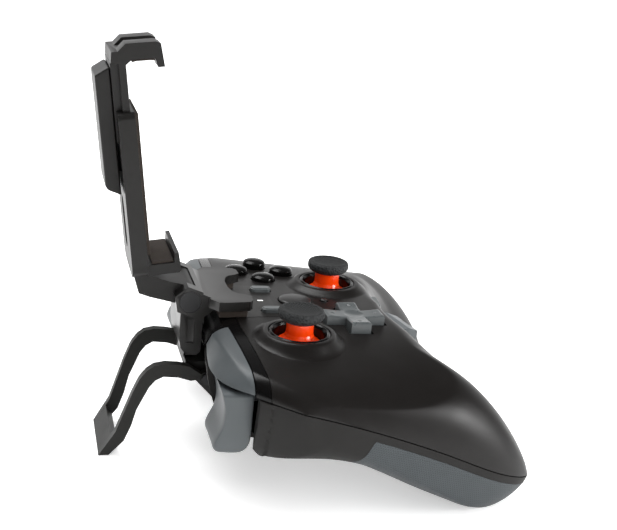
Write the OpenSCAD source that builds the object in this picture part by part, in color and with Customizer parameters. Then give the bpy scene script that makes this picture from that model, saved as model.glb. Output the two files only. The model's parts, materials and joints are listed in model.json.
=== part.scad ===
// Wireless game controller with a detachable phone clip and a fold-out kickstand.
// +X is the player's right, +Y points away from the player, +Z is up and the table is z = 0.
// Every place in Y is measured from the midline between the two stick rows, which set_down()
// then moves so that the origin lies under the middle of the whole part.

/* [Housing] */
// Width of the controller across its grips
body_w = 154; // [150:1:160]
// Reach of the grips in front of the stick midline
grip_reach = 75; // [73:1:78]
// Reach of the shoulders behind the stick midline
rear_reach = 47; // [46:0.5:48]
// Height of the deck above the table
deck_h = 58; // [56.5:0.5:59.5]
// Depth of the housing from its deck to its underside, between the grips
body_t = 36; // [35:0.5:37]
// Wall of the moulded housing
wall = 2.2; // [1.8:0.1:2.4]
// Gap round every button and cover in the housing
gap = 0.4; // [0.3:0.05:0.5]

/* [Sticks] */
// Place of the left stick and the button cluster, as a share of half the width
wide_share = 0.487; // [0.48:0.001:0.5]
// Place of the right stick and the direction pad, as a share of half the width
near_share = 0.2532; // [0.245:0.0002:0.26]
// Distance between the two stick rows
row_gap = 25.6; // [25:0.2:26.4]
// Height of the stick rings above the deck
ring_rise = 2.1; // [1.6:0.1:2.6]
// Outer radius of the glossy ring round a stick
ring_r = 11.5; // [11.2:0.1:11.9]
// Radius of the hole in that ring
hole_r = 9.7; // [9.5:0.1:10]
// Radius of a thumb cap
cap_r = 8.5; // [8:0.1:8.9]
// Height of a thumb cap above its ring
cap_rise = 8.6; // [8:0.1:9.5]
// Radius of the coloured stem under a cap
stem_r = 5.05; // [4.6:0.05:5.2]
// Depth of the stick pivot below the deck
pivot_drop = 12; // [11.5:0.25:12.5]

/* [Buttons] */
// Radius of a face button
face_r = 4.8; // [4.4:0.1:5.1]
// Distance from the middle of the cluster to a face button
face_pitch = 9.8; // [9.6:0.1:10.2]
// Rise of a face button above the deck
face_rise = 2.2; // [1.8:0.1:2.6]
// Travel of a pressed button
press = 1.4; // [1.1:0.1:1.5]
// Span of the direction pad across two arms
dpad_span = 23; // [22:0.5:24]
// Width of a direction pad arm
dpad_arm = 7.8; // [7.2:0.2:8.2]
// Rise of the direction pad above the deck
dpad_rise = 2.9; // [2.5:0.1:3.2]
// Radius of the home button
home_r = 6.6; // [6.2:0.1:7]

/* [Triggers] */
// Width of a trigger
trigger_w = 20; // [18:0.5:21]
// Distance from the side of the grips to the outer side of a trigger
trigger_in = 12.5; // [12:0.5:13.5]
// Depth of a bumper, front to back
bumper_d = 10.5; // [10:0.5:11]
// Width of the glossy strip in front of a bumper
trim_w = 4.6; // [4:0.2:5]

/* [Phone clip] */
// Gap between the two jaws as the clip stands
jaw_gap = 74; // [70:1:78]
// Thickness of a phone that the lips hold
phone_t = 8.4; // [7.8:0.1:9]
// Width of the holder's back plate
holder_w = 36; // [35:0.5:38]
// Lean of the holder away from the player in degrees
holder_tilt = 8; // [4:0.5:12]
// Width of the clamp plate
clamp_w = 42; // [40:0.5:44]
// Thickness of the clamp plate
clamp_t = 3.6; // [3.2:0.1:4]
// Reach of the holder's hinge behind the shoulders
hinge_out = 3.1; // [2.8:0.1:3.6]
// Height of the holder's hinge above the deck
hinge_rise = 4.9; // [4.4:0.1:5.4]

/* [Kickstand] */
// Reach of the kickstand's foot behind the stick midline
foot_y = 81.4; // [79:0.2:84]
// Width of the foot
foot_w = 28; // [26:1:31]
// Thickness of a leg, seen from behind
leg_t = 3.4; // [3:0.1:3.7]

/* [Hidden] */
$fn = 48;
// How far a cut runs past the face that it opens
over = 1;
// Clearance of a running fit, on the radius
fit = 0.05;
// Clearance between two parts that seat face to face
seat = 0.1;
// Size of a broken or rounded moulded edge
edge = 0.8;
// Side of a thin web or contact blade
blade = 0.7;

half_w = body_w / 2;
row_y = row_gap / 2;
wide_x = wide_share * half_w;
near_x = near_share * half_w;
belly_h = deck_h - body_t;
pivot_h = deck_h - pivot_drop;
hinge_y = rear_reach + hinge_out;
hinge_h = deck_h + hinge_rise;
ring_z = deck_h + ring_rise;
tall = 2 * deck_h;
left_stick = [-wide_x, row_y, 0];
right_stick = [near_x, -row_y, 0];
dpad_out = 1;
faces_in = 0.8;
dpad_at = [-near_x - dpad_out, -row_y, 0];
faces_at = [wide_x - faces_in, row_y, 0];

// Housing outline: shares of the half width against shares of the grip or rear reach
front_shares = [[0, 0.445], [0.13, 0.453], [0.26, 0.492], [0.39, 0.585], [0.52, 0.75], [0.61, 0.88],
    [0.70, 0.975], [0.78, 1], [0.857, 0.955], [0.922, 0.81], [0.965, 0.55], [0.988, 0.25], [1, 0]];
rear_shares = [[0, 0.925], [0.2, 0.93], [0.36, 0.97], [0.52, 1], [0.65, 1], [0.78, 0.93],
    [0.88, 0.77], [0.96, 0.55], [1, 0.40]];
// Height of the parting line: shares of the grip reach against shares of the deck height
parting_shares = [[-1, 0.210], [-0.773, 0.312], [-0.437, 0.500], [-0.085, 0.664], [0.228, 0.778],
    [0.451, 0.833], [0.62, 0.855]];
// Height of the grips' underside in the same shares
grip_floor_shares = [[-1, -0.04], [-0.66, -0.04], [-0.53, 0.02], [-0.355, 0.12], [-0.177, 0.235],
    [-0.07, 0.295], [0.08, 0.33], [0.31, 0.33], [0.48, 0.37], [0.62, 0.42]];
// Length of the edge roundings: shares of the half width against shares of the reach
front_round_shares = [[0, 0.1], [0.35, 0.18], [0.6, 0.42], [0.8, 0.46], [1, 0.46]];
under_round_shares = [[0, 0.15], [0.4, 0.17], [0.7, 0.19], [1, 0.19]];
rear_under_shares = [[0, 0.46], [0.3, 0.42], [0.55, 0.25], [1, 0.22]];
rear_round_share = 0.2;
// Exponents of those roundings
side_power = 2.5;
front_power_shares = [[0, 3], [0.25, 2.7], [0.45, 1.7], [0.6, 1.35], [1, 1.35]];
rear_power = 2;
under_side_power = 4;
under_power = 1.6;
stations = 30;
steps = 18;

function slope(t, i) =
    let (a = max(0, i - 1), b = min(len(t) - 1, i + 1)) (t[b][1] - t[a][1]) / (t[b][0] - t[a][0]);
function piece(t, x, i = 0) = i >= len(t) - 2 || x < t[i + 1][0] ? i : piece(t, x, i + 1);
// Smooth curve through a table, by cubic pieces that share their slopes
function smooth(t, x) =
    let (i = piece(t, x), d = t[i + 1][0] - t[i][0], u = min(1, max(0, (x - t[i][0]) / d)))
    t[i][1] * (1 + 2 * u) * pow(1 - u, 2) + slope(t, i) * d * u * pow(1 - u, 2)
    + t[i + 1][1] * u * u * (3 - 2 * u) + slope(t, i + 1) * d * u * u * (u - 1);
// Quarter of a superellipse: 0 at the edge, 1 from u = 1 inwards
function ease(u, p) = u >= 1 ? 1 : pow(1 - pow(1 - max(0, u), p), 1 / p);
function blend(a, b, t) = a + (b - a) * t;
function scaled(shares, w, h) = [for (p = shares) [p[0] * w, p[1] * h]];

function front_y(s) = -grip_reach * smooth(front_shares, s);
function rear_y(s) = rear_reach * smooth(rear_shares, s);
function parting(y) = deck_h * smooth(parting_shares, y / grip_reach);
// Upper and lower surface of the housing, drawn in by inset
function deck_z(x, y, inset = 0) =
    let (s = min(1, abs(x) / (half_w - inset)), p = parting(y),
        f = (y - front_y(s) - inset) / (grip_reach * smooth(front_round_shares, s)),
        r = (rear_y(s) - inset - y) / (rear_reach * rear_round_share))
    p + (deck_h - inset - p) * ease(1 - s, side_power) * ease(f, smooth(front_power_shares, s))
        * ease(r, rear_power);
function under_z(x, y, inset = 0) =
    let (s = min(1, abs(x) / (half_w - inset)), p = parting(y), t = min(1, max(0, (s - 0.3) / 0.32)),
        low = blend(belly_h, deck_h * smooth(grip_floor_shares, y / grip_reach), t * t * (3 - 2 * t)),
        f = (y - front_y(s) - inset) / (grip_reach * smooth(under_round_shares, s)),
        r = (rear_y(s) - inset - y) / (rear_reach * smooth(rear_under_shares, s)))
    max(inset, p - (p - low - inset) * ease(1 - s, under_side_power) * ease(f, under_power)
        * ease(r, under_power));

// One half of the housing as an open moulded skin: up = true above the parting line
function skin_points(up, inset) = [for (i = [0:stations], j = [0:steps])
    let (a = 90 * (2 * i / stations - 1), x = (half_w - inset) * sin(a), s = abs(sin(a)),
        y0 = front_y(s) + inset, y1 = rear_y(s) - inset, y = blend(y0, y1, (1 - cos(180 * j / steps)) / 2))
    [x, y, up ? deck_z(x, y, inset) : under_z(x, y, inset)]];
function at(i, j) = i * (steps + 1) + j;
rim = concat([for (j = [0:steps]) at(0, j)], [for (i = [1:stations]) at(i, steps)],
    [for (j = [steps - 1:-1:0]) at(stations, j)], [for (i = [stations - 1:-1:1]) at(i, 0)]);
function turned(f, up) = up ? f : [f[2], f[1], f[0]];
module skin(up) {
    n = (stations + 1) * (steps + 1);
    m = len(rim);
    outside = [for (i = [0:stations - 1], j = [0:steps - 1], h = [0, 1])
        h == 0 ? [at(i, j), at(i, j + 1), at(i + 1, j + 1)] : [at(i, j), at(i + 1, j + 1), at(i + 1, j)]];
    inside = [for (f = outside) [n + f[2], n + f[1], n + f[0]]];
    band = [for (k = [0:m - 1], h = [0, 1]) let (a = rim[k], b = rim[(k + 1) % m])
        h == 0 ? [a, n + a, n + b] : [a, n + b, b]];
    polyhedron(points = concat(skin_points(up, 0), skin_points(up, wall)),
        faces = [for (f = concat(outside, inside, band)) turned(f, up)], convexity = 8);
}

// Loft through rings of equal count, closed by flat ends
module loft(rings) {
    n = len(rings[0]);
    last = (len(rings) - 1) * n;
    polyhedron(points = [for (ring = rings) each ring],
        faces = concat([[for (k = [0:n - 1]) k]], [[for (k = [n - 1:-1:0]) last + k]],
            [for (i = [0:len(rings) - 2], k = [0:n - 1], h = [0, 1])
                let (a = i * n + k, b = i * n + (k + 1) % n)
                h == 0 ? [a, a + n, b + n] : [a, b + n, b]]), convexity = 6);
}

// Moves the part so that the origin lies under the middle of its length
front_reach = -min([for (p = skin_points(true, 0)) p.y]);
module set_down() translate([0, (front_reach - clip_reach) / 2, 0]) children();
module side(s) {
    if (s < 0) mirror([1, 0, 0]) children();
    else children();
}
module both() for (s = [-1, 1]) side(s) children();
// Extrudes an outline drawn in Y and Z along X, centred on x
module along_x(width, x = 0) translate([x - width / 2, 0, 0]) rotate([90, 0, 90])
    linear_extrude(height = width) children();
// Cylinder along X, centred on x
module bar_x(r, width, x = 0) translate([x - width / 2, 0, 0]) rotate([0, 90, 0])
    cylinder(r = r, h = width);
// Slot with round ends, lying in X and Y
module slot(length, width, h, turn = 0) rotate([0, 0, turn]) union() {
    translate([-(length - width) / 2, -width / 2, 0]) cube([length - width, width, h]);
    for (s = [-1, 1]) translate([s * (length - width) / 2, 0, 0]) cylinder(r = width / 2, h = h);
}
module rect(x0, x1, y0, y1) translate([x0, y0]) square([x1 - x0, y1 - y0]);

// Shoulders: the line between the glossy strip and the bumpers, seen from above
bumper_in = 0.36 * half_w;
seam_rear = rear_reach - bumper_d + edge;
seam_drop = 3.5;
function seam_y(x) = seam_rear - seam_drop * (abs(x) - bumper_in) / (half_w - bumper_in);
// Everything behind the seam moved forward by back_off, as a tall prism
module behind_seam(back_off) translate([0, 0, -over]) linear_extrude(height = tall)
    polygon(concat([for (x = [-body_w, -half_w, -bumper_in, bumper_in, half_w, body_w])
        [x, seam_y(min(half_w, abs(x))) - back_off]], [[body_w, body_w], [-body_w, body_w]]));
module bumper_zone(clear) translate([bumper_in - clear, 0, -over])
    linear_extrude(height = tall) polygon([[0, seam_y(bumper_in) - clear],
        [half_w, seam_y(half_w) - clear], [half_w, body_w], [0, body_w]]);

// Triggers: pivot, opening and profile in Y and Z
pivot_in = 8.5;
pivot_y = rear_reach - pivot_in;
axle_drop = 13.4;
pivot_z = deck_h - axle_drop;
trigger_drop = 1.2;
trigger_pull = 12;
trigger_edge_in = 13.8;
trigger_edge = rear_reach - trigger_edge_in;
trigger_back_in = 1.9;
trigger_back = rear_reach - trigger_back_in;
trigger_top = parting(pivot_y) - trigger_drop;
trigger_h = trigger_top - belly_h - trigger_drop;
trigger_mid = half_w - trigger_in - trigger_w / 2;
axle_r = 1.5;
ear_w = 6;
ear_r = 2.9;

// Screws through the underside: places as shares of the half width and of the row gap
screw_shares = [[0.727, 0.664], [0.468, -0.94], [0.26, 1.23]];
screw_at = scaled(screw_shares, half_w, row_gap);
screw_r = 1.5;
screw_head_r = 2.9;
screw_head_h = 1.8;
screw_grip = 6;
pilot_r = 1.3;
well_r = 3.5;
well_d = 9;
well_top = belly_h + well_d;
boss_r = 5;
boss_top = belly_h + 2 * well_d;
top_boss_r = 3.6;

stick_places = [left_stick, right_stick];
face_places = [[0, face_pitch], [0, -face_pitch], [face_pitch, 0], [-face_pitch, 0]];
flange_t = 1;
flange_w = 1;
board_drop = 12;
board_z = deck_h - board_drop;
board_t = 1.4;
main_drop = 21.5;
main_z = deck_h - main_drop;
main_t = 1.6;
dome_h = 1.6;
rubber_t = 0.8;
home_at = [0, 5.4];
start_at = [11.7, 17.2];
select_at = [-11.7, 17.2];
mode_at = [0, -6.6];
light_at = [0, 19.6];
pair_at = [9.5, -0.4267 * grip_reach];
oblong_l = 8.4;
oblong_w = 4;
oblong_rise = 1.6;
mode_r = 1.3;
light_l = 2.4;
light_w = 1.1;
bar_l = 11;
bar_w = 2.6;
bar_turn = -6;
port_w = 18;
port_h = 6.4;
port_d = 6;
port_out = 4.4;
port_x = -11;
port_y = -0.4667 * grip_reach;
port_turn = 12;
port_drop = 7.2;
port_z = deck_h - port_drop;
socket_w = 9;
socket_t = 3.2;
dpad_slack = 0.9;
collar_r = ring_r + 2.6;
collar_foot = ring_r + 4;

module at_port() translate([port_x, port_y, port_z]) rotate([0, 0, port_turn]) children();
// Stick collars, the raised rounds that hold the glossy rings
module collar() rotate_extrude() polygon([[ring_r, deck_h - wall * 1.7], [collar_foot, deck_h - wall * 1.7],
    [collar_foot, deck_h - wall * 0.55], [collar_r, ring_z - edge], [collar_r - edge, ring_z - edge / 3],
    [ring_r, ring_z - edge / 3]]);
module top_shell() set_down() color("#262628") difference() {
    union() {
        difference() {
            skin(true);
            behind_seam(trim_w);
        }
        for (p = stick_places) translate(p) collar();
        // Screw bosses, the rear pair cut back under the trim
        for (m = [-1, 1], p = screw_at) difference() {
            translate([m * p.x, p.y, boss_top + seat])
                cylinder(r = top_boss_r, h = deck_z(p.x, p.y) - wall * 0.6 - boss_top - seat);
            translate([0, 0, over + deck_z(p.x, p.y + top_boss_r, wall) - gap]) behind_seam(trim_w);
        }
    }
    for (p = stick_places) translate([p.x, p.y, board_z]) cylinder(r = ring_r + seat, h = tall);
    for (p = face_places) translate([faces_at.x + p.x, faces_at.y + p.y, board_z])
        cylinder(r = face_r + gap, h = tall);
    translate([dpad_at.x, dpad_at.y, board_z]) for (t = [0, 90]) rotate([0, 0, t])
        translate([-dpad_span / 2 - dpad_slack, -dpad_arm / 2 - dpad_slack, 0])
            cube([dpad_span + 2 * dpad_slack, dpad_arm + 2 * dpad_slack, tall]);
    translate([home_at.x, home_at.y, board_z]) cylinder(r = home_r + gap, h = tall);
    translate([mode_at.x, mode_at.y, board_z]) cylinder(r = mode_r + gap, h = tall);
    for (p = [start_at, select_at]) translate([p.x, p.y, board_z])
        slot(oblong_l + 2 * gap, oblong_w + 2 * gap, tall, 90);
    translate([light_at.x, light_at.y, board_z]) slot(light_l + 2 * fit, light_w + 2 * fit, tall, 90);
    translate([pair_at.x, pair_at.y, board_z]) slot(bar_l + 2 * gap, bar_w + 2 * gap, tall, bar_turn);
    at_port() translate([-port_w / 2 - seat, -half_w, -seat - port_h / 2])
        cube([port_w + 2 * seat, half_w + port_d, port_h + 2 * seat]);
    for (m = [-1, 1], p = screw_at) translate([m * p.x, p.y, boss_top - over])
        cylinder(r = pilot_r, h = screw_grip + over);
}

// Panels of the grips, seen from the side
pad_drop = 3.6;
pad_in = 0.55 * half_w;
pad_points = 10;
// Rear edge of a panel: shares of the grip reach against shares of the deck height
pad_rear_shares = [[-0.088, 0.575], [-0.072, 0.53], [-0.05, 0.48], [-0.027, 0.435], [0, 0.39],
    [0.03, 0.355], [0.06, 0.335], [0.1, 0.325], [0.1, -0.1]];
pad_front = -0.1 * grip_reach;
module pad_zone(clear) translate([pad_in - clear, 0, 0]) rotate([90, 0, 90]) linear_extrude(height = half_w)
    offset(delta = clear) polygon(concat([for (k = [0:pad_points - 1])
        let (y = blend(-1.1 * grip_reach, pad_front, k / (pad_points - 1)))
        [y, parting(max(y, -grip_reach)) - pad_drop]],
        scaled(pad_rear_shares, grip_reach, deck_h), [[-1.1 * grip_reach, -deck_h / 10]]));

module trigger_opening() {
    translate([trigger_mid - trigger_w / 2 - gap - seat, trigger_edge, belly_h / 2])
        cube([half_w, rear_reach, tall]);
    // Room in front of the trigger for its pull
    along_x(trigger_w + 2 * (gap + seat), trigger_mid) polygon([[trigger_edge - seat, pivot_z],
        [trigger_edge - seat - (pivot_z - belly_h / 2) * tan(trigger_pull), belly_h / 2],
        [trigger_edge + over, belly_h / 2], [trigger_edge + over, pivot_z]]);
}

module bottom_shell() set_down() color("#232325") difference() {
    union() {
        difference() {
            skin(false);
            both() pad_zone(seat);
            both() trigger_opening();
        }
        for (m = [-1, 1], p = screw_at) translate([m * p.x, p.y, under_z(p.x, p.y) + wall * 0.6])
            cylinder(r = boss_r, h = boss_top - under_z(p.x, p.y) - wall * 0.6);
    }
    for (m = [-1, 1], p = screw_at) translate([m * p.x, p.y, -over]) {
        cylinder(r = well_r, h = well_top + over);
        cylinder(r = screw_r + seat, h = tall);
    }
}
module grip_pad(s) set_down() color("#5a5f63") side(s) intersection() {
    skin(false);
    pad_zone(0);
}
module left_grip_pad() grip_pad(-1);
module right_grip_pad() grip_pad(1);
module shoulder_trim() set_down() color("#101012") difference() {
    intersection() {
        skin(true);
        behind_seam(trim_w - gap / 2);
    }
    both() bumper_zone(gap / 2);
}

// Bumpers rock on a rod behind the seam, so that their rear edge goes down
rod_in_y = 7.5;
rod_drop = 5.8;
rod_y = rear_reach - rod_in_y;
rod_z = deck_h - rod_drop;
rod_r = 1;
lug_r = 2.2;
lug_w = 3;
lug_in = 0.078 * half_w;
lug_out = 0.39 * half_w;
bumper_lift = 1.4;
rod_in = bumper_in + lug_in - lug_w;
rod_out = bumper_in + lug_out + lug_w;
module bumper(s) set_down() color("#6b6f70") side(s) difference() {
    union() {
        difference() {
            intersection() {
                skin(true);
                bumper_zone(-gap / 2);
            }
            // Lower edge, raised at the inner end where the bumper swings down
            translate([0, body_w, 0]) rotate([90, 0, 0]) linear_extrude(height = body_w)
                polygon([[0, 0], [body_w, 0], [body_w, parting(seam_y(half_w)) + bumper_lift / 4],
                    [half_w, parting(seam_y(half_w)) + bumper_lift / 4],
                    [bumper_in, parting(rear_reach) + bumper_lift],
                    [0, parting(rear_reach) + bumper_lift]]);
        }
        for (x = [bumper_in + lug_in, bumper_in + lug_out]) translate([0, rod_y, 0]) {
            translate([0, 0, rod_z]) bar_x(lug_r, lug_w, x);
            translate([x - lug_w / 2, -lug_r, rod_z])
                cube([lug_w, 2 * lug_r, deck_z(x, rod_y) - wall / 2 - rod_z]);
        }
    }
    translate([0, rod_y, rod_z]) bar_x(rod_r + fit, rod_out - rod_in + 2 * seat, (rod_in + rod_out) / 2);
}
module left_bumper() bumper(-1);
module right_bumper() bumper(1);

// Side outline of a trigger: a flat back, a hollow for the finger and a hooked tip
scoop_shares = [[0, 0], [0.3, -0.11], [0.55, -0.07], [0.78, 0.12], [0.86, 0.17], [0.93, 0.15],
    [0.98, 0.07], [1, -0.08]];
inner_shares = [[0.35, 1.01], [0.12, 0.94], [0.02, 0.8], [0, 0.3], [0, 0]];
function trigger_ring(x, inset) = [for (p = concat([for (q = scoop_shares) [1 + q[1], q[0]]], inner_shares))
    [x, blend(trigger_edge + gap, trigger_back, blend(0.5, p.x, inset)),
        trigger_top - trigger_h * blend(0.5, p.y, inset)]];
// Draw-in of the trigger's ends: shares of its width against shares of its outline
round_shares = [[0, 0.86], [0.05, 0.94], [0.14, 1], [0.86, 1], [0.95, 0.94], [1, 0.86]];
module trigger_body(s) set_down() color("#6b6f70") side(s) difference() {
    loft([for (r = round_shares) trigger_ring(trigger_mid - trigger_w * (r[0] - 0.5), r[1])]);
    // Hollow for the ear of the shoulder frame, open in front
    translate([trigger_mid - ear_w / 2 - gap, trigger_edge - over, pivot_z - trigger_h])
        cube([ear_w + 2 * gap, pivot_y - trigger_edge + ear_r + gap + over, tall]);
    translate([0, pivot_y, pivot_z]) {
        bar_x(axle_r + fit, axle_l + 2 * seat, trigger_mid);
        bar_x(spring_r + wire_r + gap, ear_w + 2 * (spring_turns * spring_pitch + 3 * gap), trigger_mid);
    }
}
module left_trigger() trigger_body(-1);
module right_trigger() trigger_body(1);

axle_l = trigger_w * 0.85;
module trigger_axles() set_down() color("#b9bcbf") both() translate([0, pivot_y, pivot_z])
    bar_x(axle_r, axle_l, trigger_mid);

// Torsion spring in each trigger: one wire wound round the axle
spring_turns = 3;
spring_pitch = 0.85;
spring_r = 2.3;
wire_r = 0.2;
coil_steps = 10;
wire_sides = 6;
function coil_ring(k, turns, r, wire, pitch) = let (a = 360 * k / coil_steps)
    [for (q = [0:wire_sides - 1]) let (b = 360 * q / wire_sides)
        [pitch * k / coil_steps + wire * sin(b), (r + wire * cos(b)) * cos(a),
            (r + wire * cos(b)) * sin(a)]];
module coil(turns, r, wire, pitch)
    loft([for (k = [turns * coil_steps:-1:0]) coil_ring(k, turns, r, wire, pitch)]);
module trigger_spring(s) set_down() color("#c8cacc") side(s)
    translate([trigger_mid + ear_w / 2 + wire_r + seat, pivot_y, pivot_z])
    coil(spring_turns, spring_r, wire_r, spring_pitch);
module left_trigger_spring() trigger_spring(-1);
module right_trigger_spring() trigger_spring(1);

// Inner frames that carry the axles, the bumper rods and the springs
frame_t = 2.4;
frame_in = 16.8;
frame_y = rear_reach - frame_in;
web_in = 12.9;
web_x = trigger_mid - web_in;
web_w = 2.4;
post_in = 2.5;
post_out_x = trigger_mid - post_in;
module shoulder_frames() set_down() color("#3a3a3c") both() difference() {
    union() {
        translate([0, pivot_y, pivot_z]) bar_x(ear_r, ear_w, trigger_mid);
        translate([trigger_mid - ear_w / 2, frame_y, pivot_z - ear_r])
            cube([ear_w, pivot_y - frame_y, 2 * ear_r]);
        translate([web_x - web_w / 2, frame_y - frame_t, pivot_z - ear_r])
            cube([trigger_mid + ear_w / 2 - web_x + web_w / 2, frame_t, 2 * ear_r]);
        // Web up to the rod that the bumper rocks on
        along_x(web_w, web_x) polygon([[frame_y - frame_t, pivot_z - ear_r], [frame_y, pivot_z - ear_r],
            [rod_y + rod_r + edge, rod_z - rod_r - edge], [rod_y + rod_r + edge, rod_z],
            [rod_y + rod_r, rod_z + rod_r], [rod_y - rod_r, rod_z + rod_r + edge],
            [frame_y - frame_t, pivot_z + ear_r]]);
        translate([0, rod_y, rod_z]) bar_x(rod_r, rod_out - rod_in, (rod_in + rod_out) / 2);
        // Feet that hang from the deck
        for (x = [web_x, post_out_x]) translate([x - web_w / 2, frame_y - frame_t, pivot_z])
            cube([web_w, frame_t, deck_z(x, frame_y) - wall - 7 * seat - pivot_z]);
    }
    translate([0, pivot_y, pivot_z]) bar_x(axle_r + fit / 2, body_w, half_w);
}

// Sticks, drawn about their pivot
dome_r = 13;
dome_wall = 1.2;
dome_angle = 58;
flare = 1.6;
ball_r = 3.2;
shaft_r = 1.5;
arch_r = 6.6;
arch_t = 1.1;
arch_w = 4;
trunnion_r = 1.1;
trunnion_l = 2;
module_wall = 1.4;
module_w = 2 * (arch_r + arch_t) + 2.6 * module_wall;
cap_t = 4.6;
neck_r = 3.4;
cap_foot = ring_z + cap_rise - cap_t - pivot_h;
ring_foot = deck_h - 1.2 * wall;
ring_shares = [[0, -1.5], [0.25, -0.45], [0.5, 0], [0.65, 0], [1, -0.6]];
cap_shares = [[0, -1], [0.68, -1], [0.84, -0.89], [0.965, -0.67], [1, -0.52], [1, -0.26], [0.97, -0.1],
    [0.895, 0], [0.8, 0], [0.73, -0.075], [0.47, -0.2], [0, -0.26]];
function dome_z(r) = sqrt(dome_r * dome_r - r * r);
module at_stick(i) set_down() translate(stick_places[i]) children();
module stick_ring(i) color("#0c0c0d") at_stick(i) rotate_extrude() polygon(concat(
    [for (p = ring_shares) [blend(hole_r, ring_r, p[0]), ring_z + edge * p[1]]],
    [[ring_r, ring_foot], [hole_r + fit, ring_foot]]));
module stick_cap(i) color("#3b3b3d") at_stick(i) translate([0, 0, ring_z + cap_rise]) difference() {
    rotate_extrude() polygon(scaled(cap_shares, cap_r, cap_t));
    translate([0, 0, -cap_t - over]) cylinder(r = neck_r + fit, h = cap_t / 2 + over);
}
module stick_stem(i) color("#f04a12") at_stick(i) translate([0, 0, pivot_h]) union() {
    // Domed skirt that closes the hole at every tilt
    rotate_extrude() intersection() {
        difference() {
            circle(r = dome_r);
            circle(r = dome_r - dome_wall);
        }
        polygon([[0, 0], [0, 2 * dome_r], [2 * dome_r * tan(dome_angle), 2 * dome_r]]);
    }
    rotate_extrude() polygon([[0, dome_r - dome_wall / 2], [stem_r + flare, dome_z(stem_r + flare) - seat],
        [stem_r + flare / 3, dome_z(stem_r + flare / 3) + flare / 3], [stem_r, dome_z(stem_r) + flare],
        [stem_r, cap_foot], [neck_r, cap_foot], [neck_r, cap_foot + cap_t / 2 - seat],
        [0, cap_foot + cap_t / 2 - seat]]);
    translate([0, 0, -ball_r * 0.7]) cylinder(r = shaft_r, h = dome_r + ball_r * 0.7);
}
module stick_yoke(i) color("#d8d8d2") at_stick(i) translate([0, 0, pivot_h]) difference() {
    union() {
        rotate([90, 0, 0]) translate([0, 0, -arch_w / 2]) difference() {
            cylinder(r = arch_r + arch_t, h = arch_w);
            translate([0, 0, -over]) cylinder(r = arch_r, h = arch_w + 2 * over);
            translate([-2 * arch_r, -2 * arch_r - trunnion_r, -over])
                cube([4 * arch_r, 2 * arch_r, arch_w + 2 * over]);
        }
        for (m = [-1, 1]) bar_x(trunnion_r, trunnion_l, m * (arch_r + arch_t / 2 + trunnion_l / 2));
    }
    translate([-arch_r * 0.75, -shaft_r - gap, 0]) cube([arch_r * 1.5, 2 * shaft_r + 2 * gap, 2 * arch_r]);
}
module stick_ball(i) color("#2f6f62") at_stick(i) translate([0, 0, pivot_h]) difference() {
    sphere(r = ball_r);
    translate([0, 0, -2 * ball_r]) cylinder(r = shaft_r + fit, h = 4 * ball_r);
}
module stick_module(i) color("#4b4d50") at_stick(i) difference() {
    translate([-module_w / 2, -module_w / 2, main_z + main_t])
        cube([module_w, module_w, pivot_h + 2 * trunnion_r - main_z - main_t]);
    // Open middle with a cup for the ball
    translate([-module_w / 2 + module_wall, -module_w / 2 + module_wall, pivot_h - ball_r * 0.4])
        cube([module_w - 2 * module_wall, module_w - 2 * module_wall, tall]);
    translate([0, 0, pivot_h]) sphere(r = ball_r + fit);
    translate([0, 0, main_z]) cylinder(r = shaft_r + edge, h = pivot_h - main_z);
    translate([0, 0, pivot_h]) bar_x(trunnion_r + fit, 2 * module_w);
    for (m = [-1, 1]) translate([m * (arch_r + arch_t / 2) - arch_t * 1.5, -arch_w / 2 - 2 * gap,
        pivot_h - arch_r * 0.55]) cube([arch_t * 3, arch_w + 4 * gap, tall]);
}
module left_stick_ring() stick_ring(0);
module right_stick_ring() stick_ring(1);
module left_stick_cap() stick_cap(0);
module right_stick_cap() stick_cap(1);
module left_stick_stem() stick_stem(0);
module right_stick_stem() stick_stem(1);
module left_stick_yoke() stick_yoke(0);
module right_stick_yoke() stick_yoke(1);
module left_stick_ball() stick_ball(0);
module right_stick_ball() stick_ball(1);
module left_stick_module() stick_module(0);
module right_stick_module() stick_module(1);

// Direction pad: the cross rocks on a disc, and the disc on a post
disc_r = 10.4;
disc_t = 1.4;
disc_z = deck_h - 3 * wall;
hub_r = 2;
tip_r = 0.7;
post_r = 1.6;
cross_gap = 0.9;
tilt_gap = 0.25;
cross_foot = disc_z + disc_t + cross_gap;
dish_r = 14;
dish_d = 1.1;
arm_top = deck_h + dpad_rise - edge;
// Top of an arm from the middle outwards: shares of the span, of the width, and of a broken edge
arm_shares = [[0, 0.9, 0.25], [0.12, 0.9, 0.25], [0.3, 0.92, 0.56], [0.46, 0.92, 1.12], [0.487, 0.9, 1],
    [0.5, 0.84, 0.44]];
module dpad_cross() set_down() color("#6f7270") translate(dpad_at) difference() {
    union() {
        for (t = [0, 90]) rotate([0, 0, t]) translate([-dpad_span / 2, -dpad_arm / 2, cross_foot])
            cube([dpad_span, dpad_arm, arm_top - cross_foot]);
        // Each arm rises to its tip and its edges are broken
        for (t = [0:90:270]) rotate([0, 0, t]) loft([for (q = arm_shares)
            let (x = -dpad_span * q[0], y = dpad_arm / 2, z = arm_top)
            [[x, -y, z - edge], [x, -y, z], [x, -y * q[1], z + edge * q[2]], [x, y * q[1], z + edge * q[2]],
                [x, y, z], [x, y, z - edge]]]);
    }
    // Dished middle
    translate([0, 0, deck_h + dpad_rise + dish_r - dish_d]) sphere(r = dish_r);
    translate([0, 0, disc_z]) cylinder(r = hub_r + cross_gap, h = 2 * disc_t + tilt_gap);
}
module dpad_disc() set_down() color("#8d8f8c") translate([dpad_at.x, dpad_at.y, disc_z]) difference() {
    union() {
        cylinder(r = disc_r, h = disc_t);
        cylinder(r = hub_r, h = 2 * disc_t);
    }
    translate([0, 0, -over]) cylinder(r = tip_r + tilt_gap, h = over + disc_t);
}
post_foot = board_z + board_t + rubber_t;
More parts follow.
